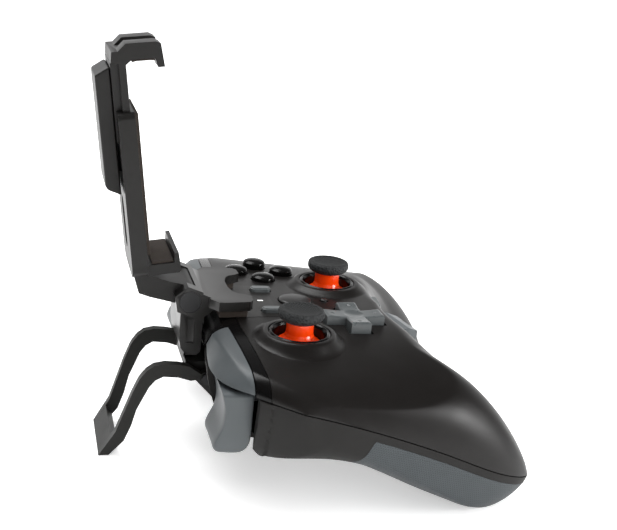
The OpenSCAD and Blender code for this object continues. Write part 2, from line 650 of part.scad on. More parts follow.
module dpad_post() set_down() color("#3c3c3e") translate([dpad_at.x, dpad_at.y, post_foot]) {
    cylinder(r = post_r, h = disc_z - post_foot - tilt_gap);
    cylinder(r = tip_r, h = disc_z + disc_t - post_foot - seat);
}

// A button with a domed top, a flange below the deck and a foot that reaches its rubber dome
foot_z = board_z + board_t + rubber_t + dome_h + press + seat;
// Underside of the flange of a button at p, just below the lowest deck over its radius r
function flange_at(p, r) = min([for (a = [0:45:315]) deck_z(p.x + r * cos(a), p.y + r * sin(a), wall)])
    - seat - flange_t;
module round_button(p, r, rise, crown) translate([p.x, p.y, 0]) rotate_extrude() polygon(concat(
    [[0, foot_z], [r * 0.45, foot_z], [r * 0.45, flange_at(p, r + flange_w)],
    [r + flange_w, flange_at(p, r + flange_w)],
    [r + flange_w, flange_at(p, r + flange_w) + flange_t], [r, flange_at(p, r + flange_w) + flange_t],
    [r, deck_h + rise - crown]],
    [for (a = [15:15:90]) [r * cos(a), deck_h + rise - crown + crown * sin(a)]]));
face_crown = 1.5;
module face_button(k) set_down() color("#0d0d0e")
    round_button([faces_at.x + face_places[k].x, faces_at.y + face_places[k].y], face_r, face_rise,
        face_crown);
module button_north() face_button(0);
module button_south() face_button(1);
module button_east() face_button(2);
module button_west() face_button(3);
home_rise = 1.5;
home_crown = 1.1;
mode_rise = 0.9;
mode_crown = 0.5;
module home_button() set_down() color("#6f7270") round_button(home_at, home_r, home_rise, home_crown);
module mode_button() set_down() color("#7b7e7c") round_button(mode_at, mode_r, mode_rise, mode_crown);
module oblong_button(p) set_down() color("#6f7270") translate([p.x, p.y, 0]) {
    translate([0, 0, foot_z]) cylinder(r = oblong_w * 0.4, h = deck_h - foot_z - wall);
    translate([0, 0, flange_at(p, oblong_l / 2)]) {
        slot(oblong_l + 2 * flange_w, oblong_w + 2 * flange_w, flange_t, 90);
        slot(oblong_l, oblong_w, deck_h + oblong_rise - edge / 2 - flange_at(p, oblong_l / 2), 90);
    }
    translate([0, 0, deck_h]) slot(oblong_l - edge, oblong_w - edge, oblong_rise, 90);
}
module start_button() oblong_button(start_at);
module select_button() oblong_button(select_at);
pair_z = deck_z(pair_at.x, pair_at.y);
pair_rise = 2.8;
pair_foot = board_z + over;
module pairing_bar() set_down() color("#7b7e7c") translate([pair_at.x, pair_at.y, pair_foot])
    slot(bar_l, bar_w, pair_z + pair_rise - pair_foot, bar_turn);
module status_light() set_down() color("#f4f6f6")
    translate([light_at.x, light_at.y, board_z + board_t + seat])
        slot(light_l, light_w, deck_h - board_z - board_t - seat, 90);

// Charging port on the front edge
module charge_port_frame() set_down() color("#5f6365") difference() {
    at_port() hull() {
        translate([-port_w / 2, 0, -port_h / 2]) cube([port_w, port_d - edge, port_h]);
        translate([-port_w / 2 + edge, -port_out, -port_h / 2 + edge])
            cube([port_w - 2 * edge, port_d, port_h - 3 * edge]);
    }
    at_port() translate([0, -4 * port_d, 0]) rotate([-90, 0, 0])
        slot(socket_w + 2 * seat, socket_t + 2 * seat, 8 * port_d);
}
module charge_socket() set_down() color("#b6b9bc") at_port() rotate([-90, 0, 0])
    difference() {
        slot(socket_w, socket_t, port_d);
        translate([0, 0, -over]) difference() {
            slot(socket_w - blade, socket_t - blade, port_d - blade);
            translate([-socket_w / 3, -blade / 2, 0]) cube([socket_w / 1.5, blade, tall]);
        }
    }

// Boards and power
board_front = port_y + port_d + edge;
spacer_r = 1.8;
spacer_hole_r = 0.9;
spacer_at = [[select_at.x - oblong_l, row_gap * 0.94], [faces_at.x + face_pitch, row_gap * 0.94],
    [-port_w * 0.58, -row_gap * 0.86], [near_x * 1.23, oblong_w]];
module board_outline() difference() {
    union() {
        rect(select_at.x - 2.8 * oblong_w, faces_at.x + face_pitch + face_r, edge,
            start_at.y + oblong_l * 1.2);
        rect(dpad_at.x - dpad_span * 0.56, dpad_at.x + dpad_span * 0.57, dpad_at.y - dpad_span * 0.55,
            2 * edge);
        rect(port_x - port_w / 2, port_x + port_w / 2, board_front, 2 * edge);
        rect(port_x, pair_at.x + bar_l / 2, board_front, board_front + 2 * oblong_w);
    }
    for (p = stick_places) translate([p.x, p.y]) circle(r = dome_r + edge);
    for (m = [-1, 1], p = screw_at) translate([m * p.x, p.y]) circle(r = top_boss_r + gap);
}
module button_board() set_down() color("#1f6b3a") translate([0, 0, board_z]) difference() {
    linear_extrude(height = board_t) board_outline();
    for (p = spacer_at) translate([p.x, p.y, -over]) cylinder(r = spacer_hole_r, h = 2 * over + board_t);
}
module membrane(pitch, r) {
    for (t = [0, 90]) rotate([0, 0, t]) slot(2 * pitch + 2 * r, 2 * r, rubber_t);
    for (t = [0:90:270]) rotate([0, 0, t]) translate([pitch, 0, 0])
        cylinder(r1 = r, r2 = r * 0.6, h = rubber_t + dome_h);
}
module button_membrane() set_down() color("#cfcfc8") {
    translate([faces_at.x, faces_at.y, board_z + board_t]) membrane(face_pitch, face_r * 0.75);
    translate([dpad_at.x, dpad_at.y, board_z + board_t]) membrane(dpad_span * 0.3, dpad_arm / 3);
    for (p = [home_at, start_at, select_at, mode_at]) translate([p.x, p.y, board_z + board_t]) {
        cylinder(r = oblong_w * 0.75, h = rubber_t);
        cylinder(r = mode_r, h = rubber_t + dome_h);
    }
}
module board_spacers() set_down() color("#c9a64a") for (p = spacer_at)
    translate([p.x, p.y, main_z + main_t])
    cylinder(r = spacer_r, h = board_z - main_z - main_t);
module main_board() set_down() color("#1f6b3a") translate([0, 0, main_z]) difference() {
    linear_extrude(height = main_t) difference() {
        union() {
            rect(-half_w * 0.65, half_w * 0.65, -oblong_w, row_gap);
            rect(-half_w * 0.42, half_w * 0.42, -row_gap * 0.86, 0);
        }
        for (m = [-1, 1], p = screw_at) translate([m * p.x, p.y]) circle(r = boss_r + gap);
    }
    for (p = spacer_at) translate([p.x, p.y, -over]) cylinder(r = spacer_hole_r, h = 2 * over + main_t);
}
cell_w = 44;
cell_d = 34;
cell_t = 9.4;
cell_y = 2;
cell_round = 1.2;
module battery() set_down() color("#7c8790") translate([0, cell_y, belly_h + wall + 3 * seat]) hull()
    for (m = [-1, 1], n = [-1, 1])
        translate([m * (cell_w / 2 - cell_round), n * (cell_d / 2 - cell_round), 0])
        cylinder(r = cell_round, h = cell_t, $fn = 24);
module housing_screws() set_down() color("#8a8d90") for (m = [-1, 1], p = screw_at)
    translate([m * p.x, p.y, well_top - screw_head_h]) difference() {
        union() {
            cylinder(r = screw_head_r, h = screw_head_h - seat);
            cylinder(r = pilot_r - fit, h = boss_top + screw_grip - over - well_top + screw_head_h);
        }
        for (t = [0, 90]) rotate([0, 0, t]) translate([-screw_head_r / 2, -blade / 2, -over])
            cube([screw_head_r, blade, over + screw_head_h / 2]);
    }

// Clamp that grips the housing, with the hinge of the holder behind it
pad_h = 3;
plate_z = deck_h + pad_h + seat;
plate_top = plate_z + clamp_t;
plate_in = 4;
plate_d = 16.7;
plate_rear = rear_reach - plate_in;
plate_tip = plate_rear - plate_d;
hinge_r = 4.9;
pin_r = 2.4;
pin_head_r = 4.1;
head_t = 0.8;
knuckle_in = 10.6;
knuckle_out = 16;
stem_half = 13;
stem_in = 5.7;
stem_out = 2.9;
stem_drop = 22.5;
stem_front = hinge_y - stem_in;
stem_back = hinge_y + stem_out;
stem_foot = hinge_h - stem_drop;
neck_drop = 5;
barrel_turn = 20;
stem_round = 1.5;
groove_w = 2.6;
groove_d = 0.6;
hook_half = 9;
hook_t = 3.2;
hook_in = 3.1;
hook_drop_z = 12.9;
hook_front = hinge_y - hook_in;
hook_top = hinge_h - hook_drop_z;
hook_slack = 1;
// Outline of the plate as shares of half the clamp's width and of its reach in Y
plate_shares = [[0.81, 1], [1, 0.82], [1, 0.58], [0.95, 0.1], [0.86, 0.02], [0.64, 0], [0.55, 0.12],
    [0.5, 0.27], [0.42, 0.36], [0.31, 0.41], [0.15, 0.45]];
last_share = len(plate_shares) - 1;
module plate_outline(inset = 0) offset(delta = -inset) polygon([for (m = [1, -1],
    k = m > 0 ? [0:last_share] : [last_share:-1:0])
    [m * clamp_w / 2 * plate_shares[k][0], blend(plate_tip, plate_rear, plate_shares[k][1])]]);
module clamp_bracket() set_down() color("#2b2b2d") difference() {
    union() {
        translate([0, 0, plate_z]) linear_extrude(height = clamp_t) plate_outline();
        // Neck from the plate down to the hinge, the six-sided barrel and the stem
        along_x(2 * knuckle_out) polygon([[plate_rear - clamp_t, plate_top], [plate_rear - edge, plate_top],
            [hinge_y - clamp_t, hinge_h + clamp_t], [hinge_y, hinge_h - neck_drop],
            [stem_front, hinge_h - neck_drop - clamp_t], [stem_front, hinge_h - neck_drop - edge],
            [plate_rear - clamp_t, plate_z]]);
        along_x(2 * knuckle_out) translate([hinge_y, hinge_h]) rotate(barrel_turn)
            circle(r = hinge_r + 1.5 * edge, $fn = 6);
        along_x(2 * stem_half) polygon([[stem_front, hinge_h - neck_drop],
            [stem_front, stem_foot + stem_round], [stem_front + stem_round, stem_foot],
            [stem_back - 2 * stem_round, stem_foot], [stem_back - stem_round / 2, stem_foot + 2 * stem_round],
            [stem_back, stem_foot + 5 * stem_round], [stem_back, hinge_h - neck_drop],
            [hinge_y + stem_round, hinge_h]]);
    }
    // Room for the holder's knuckle between the bracket's two
    translate([0, hinge_y, hinge_h]) bar_x(hinge_r + gap, 2 * (knuckle_in + seat));
    translate([-knuckle_in - seat, hinge_y + over, hinge_h - hinge_r - gap])
        cube([2 * (knuckle_in + seat), 3 * hinge_r, 3 * hinge_r]);
    translate([-knuckle_in - seat, hinge_y - hinge_r / 2, hinge_h + hinge_r * 0.7])
        cube([2 * (knuckle_in + seat), 3 * hinge_r, 3 * hinge_r]);
    translate([0, hinge_y, hinge_h]) bar_x(pin_r + fit, body_w);
    for (m = [-1, 1]) translate([0, hinge_y, hinge_h])
        bar_x(pin_head_r + seat, 2 * head_t, m * knuckle_out);
    // Channel that the lower hook slides in
    translate([-hook_half - fit, hook_front - fit, stem_foot - over])
        cube([2 * (hook_half + fit), hook_t + 2 * fit, hook_top - stem_foot + hook_slack + over]);
    // Grooves down the sides of the stem
    for (m = [-1, 1])
        translate([m * stem_half - groove_d, (stem_front + stem_back - groove_w) / 2, stem_foot + neck_drop])
        cube([2 * groove_d, groove_w, hinge_h - stem_foot - 2.6 * neck_drop]);
}
pad_inset = 1.6;
module clamp_pad() set_down() color("#4a4340") translate([0, 0, deck_h + seat])
    linear_extrude(height = pad_h - seat) intersection() {
        plate_outline(pad_inset);
        rect(-half_w, half_w, 0, plate_rear - clamp_t);
    }

// Lower hook: slides in the stem, drawn up by a spring, and reaches under the housing
lip_w = 30;
under_clear = 0.5;
hook_steps = 8;
hook_under_in = 21;
hook_back_in = 2.1;
hook_reach = rear_reach - hook_under_in;
hook_back = hinge_y - hook_back_in;
// Underside of the hook: shares of its reach, and of the housing's depth from the belly up
hook_floor_shares = [[1, 0.344], [0.956, 0.243], [0.756, -0.033], [0.62, -0.12], [0.543, -0.128]];
hook_head = stem_foot - hook_slack - edge;
function hook_y(k) = blend(stem_front + edge, hook_reach, k / hook_steps);
function hook_under(y) = min(hook_head, min(under_z(0, y), under_z(lip_w / 2, y)) - under_clear);
module lower_hook() set_down() color("#262628") difference() {
    union() {
        translate([-hook_half, hook_front, hook_head - hook_t])
            cube([2 * hook_half, hook_t, hook_top - hook_head + hook_t]);
        along_x(lip_w) polygon(concat(
            [for (k = [0:hook_steps]) [hook_y(k), hook_under(hook_y(k))]],
            [for (k = [len(hook_floor_shares) - 1:-1:0])
                [hook_back * hook_floor_shares[k][0], belly_h + body_t * hook_floor_shares[k][1]]],
            [[hook_front + hook_t, stand_z + hook_t], [hook_front + hook_t, hook_head],
                [stem_front + edge, hook_head]]));
    }
    translate([0, stand_y, stand_z]) bar_x(stand_pin_r + fit / 2, body_w);
}

// Kickstand: two bent legs on pins in the hook, joined by the foot
stand_in_y = 8.1;
stand_rise = 11.2;
stand_y = hinge_y - stand_in_y;
stand_z = belly_h + stand_rise;
stand_pin_r = 1.3;
stand_head_r = 2.3;
leg_lean = 0.11;
knee_r = 2.9;
leg_x = lip_w / 2 + 3 * seat + leg_lean * knee_r + leg_t / 2;
foot_d = foot_y - stand_y;
stand_in = 6;
stand_out = leg_x + leg_t / 2 + leg_lean * stand_head_r + 2 * seat;
// Outline of a leg seen from the side: shares of the reach and of the height from the pin to the foot
leg_top_shares = [[0.19, 0.159], [0.3, 0.18], [0.42, 0.19], [0.52, 0.165], [0.585, 0.108],
    [0.635, 0.03], [0.658, -0.02], [0.714, -0.19], [0.807, -0.53], [0.85, -0.695], [1, -1]];
leg_low_shares = [[0.9, -1], [0.762, -0.81], [0.701, -0.605], [0.661, -0.398], [0.555, -0.105],
    [0.5, -0.02], [0.427, 0.027], [0.284, 0.015], [0.16, -0.03]];
foot_shares = [[0.9, -1], [0.82, -0.86], [0.885, -0.77], [1, -1]];
module leg_outline() translate([stand_y, stand_z]) union() {
    polygon(concat(scaled(leg_top_shares, foot_d, stand_z), scaled(leg_low_shares, foot_d, stand_z),
        [[0, 0]]));
    circle(r = knee_r);
}
module kickstand() set_down() color("#3c3d3f") difference() {
    union() {
        both() multmatrix([[1, 0, leg_lean, -leg_lean * stand_z], [0, 1, 0, 0], [0, 0, 1, 0], [0, 0, 0, 1]])
            along_x(leg_t, leg_x) leg_outline();
        // Foot across both legs
        along_x(foot_w) translate([stand_y, stand_z]) polygon(scaled(foot_shares, foot_d, stand_z));
    }
    translate([0, stand_y, stand_z]) bar_x(stand_pin_r + fit, body_w);
}
module kickstand_pins() set_down() color("#9a9c9e") both() translate([0, stand_y, stand_z]) {
    bar_x(stand_pin_r, stand_out - stand_in, (stand_out + stand_in) / 2);
    bar_x(stand_head_r, head_t, stand_out + head_t / 2);
}

// Holder, drawn in its own frame: Y back and Z up from the hinge, then leaned back
plate_v = 14.4;
plate_back = 20.4;
plate_u = 11.2;
plate_crest = 73.5;
jaw_low = 15.8;
jaw_t = 4;
lip_t = 2.4;
lip_h = 3.6;
pad_v = 1.4;
jaw_pad_t = 0.8;
lip_v = plate_v - pad_v - phone_t - lip_t;
slide_half = 14.5;
neck_half = 12;
tongue_v = 15.7;
tongue_t = 2.6;
tongue_foot = 50;
pocket_foot = 33;
neck_foot = 62;
neck_open = 46;
round_low = 7;
round_top = 2.5;
cover_half = 11;
cover_v = 21.2;
cover_back = 26.7;
cover_foot = 42.4;
cover_top = 88.8;
jaw_z = jaw_low + jaw_pad_t + jaw_gap;
clip_reach = hinge_y + cover_back * cos(holder_tilt) + (cover_top - 3 * edge) * sin(holder_tilt);
module leaning() set_down() translate([0, hinge_y, hinge_h]) rotate([-holder_tilt, 0, 0]) children();
module hinge_pin() set_down() color("#8f9294") translate([0, hinge_y, hinge_h]) {
    bar_x(pin_r, 2 * knuckle_out - head_t);
    for (m = [-1, 1]) bar_x(pin_head_r, head_t, m * (knuckle_out - head_t / 2));
}
module back_outline() {
    for (s = [-1, 1]) {
        translate([s * (holder_w / 2 - round_low), plate_u + round_low]) circle(r = round_low);
        translate([s * (holder_w / 2 - round_top), plate_crest - round_top]) circle(r = round_top);
    }
    rect(-holder_w / 2, holder_w / 2, plate_u + round_low, plate_crest - round_top);
    rect(-holder_w / 2 + round_low, holder_w / 2 - round_low, plate_u, plate_crest);
    rect(-holder_w / 2 + round_top, holder_w / 2 - round_top, plate_crest - 2 * round_top, plate_crest);
}
slot_w = 9;
slot_foot = 19.7;
slot_h = 20.1;
finger_w = 9.5;
near_in = 5;
far_in = 3;
jaw_half = 14.5;
module jaw_fingers() for (q = [[-near_in - finger_w, -near_in], [far_in, far_in + finger_w + 3 * seat]])
    along_x(q[1] - q[0], (q[0] + q[1]) / 2) children();
module holder_back() leaning() color("#2a2a2c") difference() {
    union() {
        translate([0, plate_back, 0]) rotate([90, 0, 0]) linear_extrude(height = plate_back - plate_v)
            back_outline();
        // Knuckle and arm
        bar_x(hinge_r, 2 * knuckle_in);
        along_x(2 * knuckle_in) polygon([[0, -hinge_r], [hinge_r, -hinge_r * 0.35], [plate_v, jaw_t / 2],
            [plate_back - jaw_t / 2, jaw_t], [plate_back - edge, plate_u + edge], [plate_v, plate_u + edge],
            [plate_v - edge, plate_u - edge], [hinge_r * 1.3, hinge_r * 1.45], [0, hinge_r]]);
        // Lower jaw with its lip
        along_x(2 * jaw_half) polygon([[plate_v + edge, jaw_low], [plate_v + edge, jaw_low - jaw_t],
            [lip_v + edge, jaw_low - jaw_t], [lip_v, jaw_low - jaw_t + edge],
            [lip_v + edge / 2, jaw_low + lip_h], [lip_v + lip_t - edge / 2, jaw_low + lip_h],
            [lip_v + lip_t, jaw_low]]);
    }
    // Pocket of the slide, open at the top, with the wider part held behind the lips
    translate([-slide_half - seat, tongue_v - seat, pocket_foot])
        cube([2 * (slide_half + seat), tongue_t + 2 * seat, tall]);
    translate([-neck_half - seat, tongue_v, neck_open]) cube([2 * (neck_half + seat), tall, tall]);
    // Oval slot in the back
    translate([0, tongue_v, slot_foot + slot_h / 2]) rotate([-90, 0, 0]) slot(slot_h, slot_w, tall, 90);
    // Broken top edge
    along_x(2 * holder_w) polygon([[plate_back - edge / 2, plate_crest + over],
        [plate_back + over, plate_crest + over], [plate_back + over, plate_crest - jaw_t]]);
    bar_x(pin_r + fit, body_w);
}
module back_pad() leaning() color("#3a3534") translate([-slide_half, plate_v - pad_v, slot_foot])
    cube([2 * slide_half, pad_v - seat, plate_crest - slot_foot - edge]);
module lower_jaw_pad() leaning() color("#3a3534")
    translate([-jaw_half + edge, lip_v + lip_t + seat, jaw_low + seat])
        cube([2 * (jaw_half - edge), phone_t - 3 * seat, jaw_pad_t - seat]);
finger_t = 5.8;
hook_drop = 2.4;
block_t = 4;
module upper_jaw() leaning() color("#2a2a2c") {
    translate([-slide_half, tongue_v, tongue_foot])
        cube([2 * slide_half, tongue_t, jaw_z + block_t - tongue_foot]);
    translate([-neck_half, tongue_v + edge, neck_foot])
        cube([2 * neck_half, cover_v - seat - tongue_v - edge, jaw_z - neck_foot]);
    // Block at the head of the slide and the two hooked fingers
    along_x(2 * slide_half) polygon([[plate_v - edge, jaw_z + jaw_pad_t], [plate_v - edge, jaw_z + block_t],
        [cover_v - edge, jaw_z + block_t], [cover_v - edge / 3, jaw_z], [tongue_v, jaw_z - edge]]);
    jaw_fingers() polygon([[lip_v, jaw_z - hook_drop], [lip_v + edge, jaw_z + finger_t],
        [lip_v + lip_t, jaw_z + finger_t + edge], [plate_v + edge, jaw_z + finger_t + edge],
        [tongue_v + tongue_t, jaw_z + block_t - seat], [tongue_v, jaw_z + jaw_pad_t],
        [lip_v + lip_t + edge, jaw_z + jaw_pad_t], [lip_v + lip_t, jaw_z - hook_drop]]);
}
module upper_jaw_pad() leaning() color("#3a3534") jaw_fingers() polygon([[lip_v + lip_t + edge + seat, jaw_z],
    [lip_v + lip_t + edge + seat, jaw_z + jaw_pad_t - seat], [plate_v - edge, jaw_z + jaw_pad_t - seat],
    [plate_v - edge, jaw_z], [plate_v - 3 * edge, jaw_z + jaw_pad_t / 3],
    [lip_v + lip_t + 3 * edge, jaw_z + jaw_pad_t / 3]]);
// Cover on the back of the slide
module slider_cover() leaning() color("#343436") along_x(2 * cover_half) polygon([[cover_v, cover_foot],
    [cover_back - edge, cover_foot + 3 * edge], [cover_back, cover_foot + 5 * edge],
    [cover_back, cover_top - 3 * edge], [cover_v + edge, cover_top], [cover_v, cover_top]]);

top_shell();
bottom_shell();
left_grip_pad();
right_grip_pad();
shoulder_trim();
left_bumper();
right_bumper();
left_trigger();
right_trigger();
left_trigger_spring();
right_trigger_spring();
shoulder_frames();
trigger_axles();
left_stick_ring();
right_stick_ring();
left_stick_cap();
right_stick_cap();
left_stick_stem();
right_stick_stem();
left_stick_yoke();
right_stick_yoke();
left_stick_ball();
right_stick_ball();
left_stick_module();
right_stick_module();
dpad_cross();
dpad_disc();
dpad_post();
button_north();
button_south();
button_east();
button_west();
home_button();
start_button();
select_button();
mode_button();
pairing_bar();
status_light();
charge_port_frame();
charge_socket();
button_board();
button_membrane();
main_board();
battery();
board_spacers();
housing_screws();
clamp_bracket();
clamp_pad();
lower_hook();
hinge_pin();
holder_back();
back_pad();
lower_jaw_pad();
upper_jaw();
upper_jaw_pad();
slider_cover();
kickstand();
kickstand_pins();
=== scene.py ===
# Game controller with a phone clip: smooth skins, broken edges, materials, light and camera.
# The housing's formulas are in millimetres, as in the model; everything in the scene is in metres.
import json
import math
import bpy
import bmesh
import numpy as np
from mathutils import Matrix, Vector


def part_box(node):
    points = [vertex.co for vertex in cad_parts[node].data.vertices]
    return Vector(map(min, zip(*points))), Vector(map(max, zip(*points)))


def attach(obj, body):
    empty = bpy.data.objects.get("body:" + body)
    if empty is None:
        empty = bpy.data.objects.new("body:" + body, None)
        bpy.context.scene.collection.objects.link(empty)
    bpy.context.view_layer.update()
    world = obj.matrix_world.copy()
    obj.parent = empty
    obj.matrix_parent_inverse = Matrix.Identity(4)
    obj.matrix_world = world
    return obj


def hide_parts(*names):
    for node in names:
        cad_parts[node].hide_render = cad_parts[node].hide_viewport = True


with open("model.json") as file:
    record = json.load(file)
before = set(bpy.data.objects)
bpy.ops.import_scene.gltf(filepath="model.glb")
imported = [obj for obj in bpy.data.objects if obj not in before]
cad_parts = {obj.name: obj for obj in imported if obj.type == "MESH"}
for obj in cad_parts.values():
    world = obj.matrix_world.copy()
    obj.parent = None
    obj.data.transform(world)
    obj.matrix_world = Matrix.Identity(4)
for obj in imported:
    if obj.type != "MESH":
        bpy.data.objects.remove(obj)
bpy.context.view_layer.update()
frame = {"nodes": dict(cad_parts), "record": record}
nodes = frame["nodes"]
mm = 0.001

# Values of the model that the skins are drawn from
shiftY = -6.9023
halfW, gripReach, rearReach = 77.0, 75.0, 47.0
deckH, bellyH, wall, gap, seat, edge = 58.0, 22.0, 2.2, 0.4, 0.1, 0.8
ringZ, ringR = 60.1, 11.5
capR, capRise, capT = 8.5, 8.6, 4.6
leftStick, rightStick = (-37.499, 12.8), (19.4964, -12.8)
facesAt, facePitch, faceR = (36.7, 12.8), 9.8, 4.8
dpadAt, dpadSpan, dpadArm, dpadSlack = (-20.4964, -12.8), 23.0, 7.8, 0.9
homeAt, homeR, modeAt, modeR = (0.0, 5.4), 6.6, (0.0, -6.6), 1.3
startAt, selectAt, oblongL, oblongW = (11.7, 17.2), (-11.7, 17.2), 8.4, 4.0
lightAt, lightL, lightW, lightGap = (0.0, 19.6), 2.4, 1.1, 0.1
pairAt, barL, barW, barTurn = (9.5, -32.0), 11.0, 2.6, math.radians(-6)
portAt, portTurn, portZ, portW, portH, portD = (-11.0, -35.0), math.radians(12), 50.8, 18.0, 6.4, 6.0
bumperIn, bumperD, trimW, seamDrop = 0.36 * 77.0, 10.5, 4.6, 3.5
triggerMid, triggerW, triggerEdge, triggerPivot = 54.5, 20.0, 33.2, 44.6
screwAt = [(0.727 * 77, 0.664 * 25.6), (0.468 * 77, -0.94 * 25.6), (0.26 * 77, 1.23 * 25.6)]
wellR, wellTop = 3.5, 31.0
roundedAngle = 32  # degrees from which an edge of a CAD node is sharp and gets rounded

# Section tables of the housing, in shares apart from the powers. Parting line and grip floor: share of the
# deck's height against y as a share of the grip's reach. All others: against the share of the half width.
frontShares = [[0, 0.445], [0.13, 0.453], [0.26, 0.492], [0.39, 0.585], [0.52, 0.75], [0.61, 0.88],
               [0.70, 0.975], [0.78, 1], [0.857, 0.955], [0.922, 0.81], [0.965, 0.55], [0.988, 0.25],
               [1, 0]]
rearShares = [[0, 0.925], [0.2, 0.93], [0.36, 0.97], [0.52, 1], [0.65, 1], [0.78, 0.93],
              [0.88, 0.77], [0.96, 0.55], [1, 0.40]]
partingShares = [[-1, 0.210], [-0.773, 0.312], [-0.437, 0.500], [-0.085, 0.664], [0.228, 0.778],
                 [0.451, 0.833], [0.62, 0.855]]
gripFloorShares = [[-1, -0.04], [-0.66, -0.04], [-0.53, 0.02], [-0.355, 0.12], [-0.177, 0.235],
                   [-0.07, 0.295], [0.08, 0.33], [0.31, 0.33], [0.48, 0.37], [0.62, 0.42]]
frontRoundShares = [[0, 0.1], [0.35, 0.18], [0.6, 0.42], [0.8, 0.46], [1, 0.46]]
underRoundShares = [[0, 0.15], [0.4, 0.17], [0.7, 0.19], [1, 0.19]]
rearUnderShares = [[0, 0.46], [0.3, 0.42], [0.55, 0.25], [1, 0.22]]
frontPowerShares = [[0, 3], [0.25, 2.7], [0.45, 1.7], [0.6, 1.35], [1, 1.35]]
rearRound, sidePower, rearPower, underSidePower, underPower = 0.2, 2.5, 2.0, 4.0, 1.6
gripBlend = (0.3, 0.32)  # where the underside starts to pass into the grip and over how much of the width


# Smooth curve through a table: cubic pieces that share their slopes, level beyond its ends
def smooth(table, x):
    t = np.array(table, float)
    n = len(t)
    slopes = np.array([(t[min(n - 1, i + 1), 1] - t[max(0, i - 1), 1])
                       / (t[min(n - 1, i + 1), 0] - t[max(0, i - 1), 0]) for i in range(n)])
    i = np.clip(np.searchsorted(t[:, 0], x, side="right") - 1, 0, n - 2)
    d = t[i + 1, 0] - t[i, 0]
    u = np.clip((x - t[i, 0]) / d, 0, 1)
    return (t[i, 1] * (1 + 2 * u) * (1 - u) ** 2 + slopes[i] * d * u * (1 - u) ** 2
            + t[i + 1, 1] * u * u * (3 - 2 * u) + slopes[i + 1] * d * u * u * (u - 1))


# Quarter of a superellipse: one less the rest of u to the power, all to one over the power; 0 at the edge,
# 1 from u = 1 inwards
def ease(u, power):
    u = np.clip(u, 0, 1)
    return (1 - (1 - u) ** power) ** (1 / power)


# Straight mix: a at t = 0, b at t = 1
def blendValues(a, b, t):
    return a + (b - a) * t


# Front edge at s, the share of the half width: the grip's reach times its table
def frontY(s):
    return -gripReach * smooth(frontShares, s)


# Rear edge at s: the rear's reach times its table
def rearY(s):
    return rearReach * smooth(rearShares, s)


# Height of the parting line at y: the deck's height times its table
def parting(y):
    return deckH * smooth(partingShares, y / gripReach)


# Top surface: the parting line plus what is left up to the deck, times three quarter rounds: from the side,
# from the front edge and from the rear edge. An inset moves all of it inwards.
def deckZ(x, y, inset=0.0):
    s = np.minimum(1, np.abs(x) / (halfW - inset))
    p = parting(y)
    f = (y - frontY(s) - inset) / (gripReach * smooth(frontRoundShares, s))
    r = (rearY(s) - inset - y) / (rearReach * rearRound)
    return p + (deckH - inset - p) * ease(1 - s, sidePower) * ease(f, smooth(frontPowerShares, s)) \
        * ease(r, rearPower)


# Underside: the parting line less the depth to the floor, times the same three rounds with their own lengths
# and powers, never under the ground. The floor passes in a smooth step from the belly to the grip's table.
def underZ(x, y, inset=0.0):
    s = np.minimum(1, np.abs(x) / (halfW - inset))
    p = parting(y)
    t = np.clip((s - gripBlend[0]) / gripBlend[1], 0, 1)
    low = blendValues(bellyH, deckH * smooth(gripFloorShares, y / gripReach), t * t * (3 - 2 * t))
    f = (y - frontY(s) - inset) / (gripReach * smooth(underRoundShares, s))
    r = (rearY(s) - inset - y) / (rearReach * smooth(rearUnderShares, s))
    return np.maximum(inset, p - (p - low - inset) * ease(1 - s, underSidePower) * ease(f, underPower)
                      * ease(r, underPower))


# Seam between deck and shoulders: straight, further forward towards each side
def seamY(x):
    return rearReach - bumperD + edge - seamDrop * (np.abs(x) - bumperIn) / (halfW - bumperIn)


# Faces of a closed form turned outwards, by the sign of its volume
def outward(points, faces):
    pts = np.array(points, float)
    fans = [(f[0], f[k], f[k + 1]) for f in faces for k in range(1, len(f) - 1)]
    a, b, c = (pts[[t[k] for t in fans]] for k in range(3))
    return faces if np.sum(a * np.cross(b, c)) > 0 else [f[::-1] for f in faces]


# Object from points in millimetres, moved from the model's middle to the frame's, and faces
def makeObject(name, points, faces):
    pts = (np.array(points, float) + np.array([0, shiftY, 0])) * mm
    mesh = bpy.data.meshes.new(name)
    mesh.from_pydata([tuple(p) for p in pts], [], faces)
    mesh.update()
    piece = bpy.data.objects.new(name, mesh)
    bpy.context.scene.collection.objects.link(piece)
    return piece


# Faces between rings of points, each joined to the next, and the last to the first if they close
def ringFaces(rings, sides, closed=False):
    return [(k * sides + i, k * sides + (i + 1) % sides, (k + 1) % rings * sides + (i + 1) % sides,
             (k + 1) % rings * sides + i)
            for k in range(rings if closed else rings - 1) for i in range(sides)]


# Faces of a slab between two like grids of points: both sheets and the band round their rim
def slabFaces(across, along):
    step = along + 1
    n = (across + 1) * step
    quads = [(i * step + j, i * step + j + 1, (i + 1) * step + j + 1, (i + 1) * step + j)
             for i in range(across) for j in range(along)]
    rim = (list(range(step)) + [i * step + along for i in range(1, across + 1)]
           + [across * step + j for j in range(along - 1, -1, -1)]
           + [i * step for i in range(across - 1, 0, -1)])
    band = [(rim[k - 1], rim[k], n + rim[k], n + rim[k - 1]) for k in range(len(rim))]
    return [q[::-1] for q in quads] + [tuple(n + v for v in q) for q in quads] + band


# Raised border by the trigger's opening: how far in front of it the border starts and over how much it
# rises, and from which x and over how much it fades in
border = {"ahead": 4.0, "rise": 0.5, "from": 40, "fade": 10}


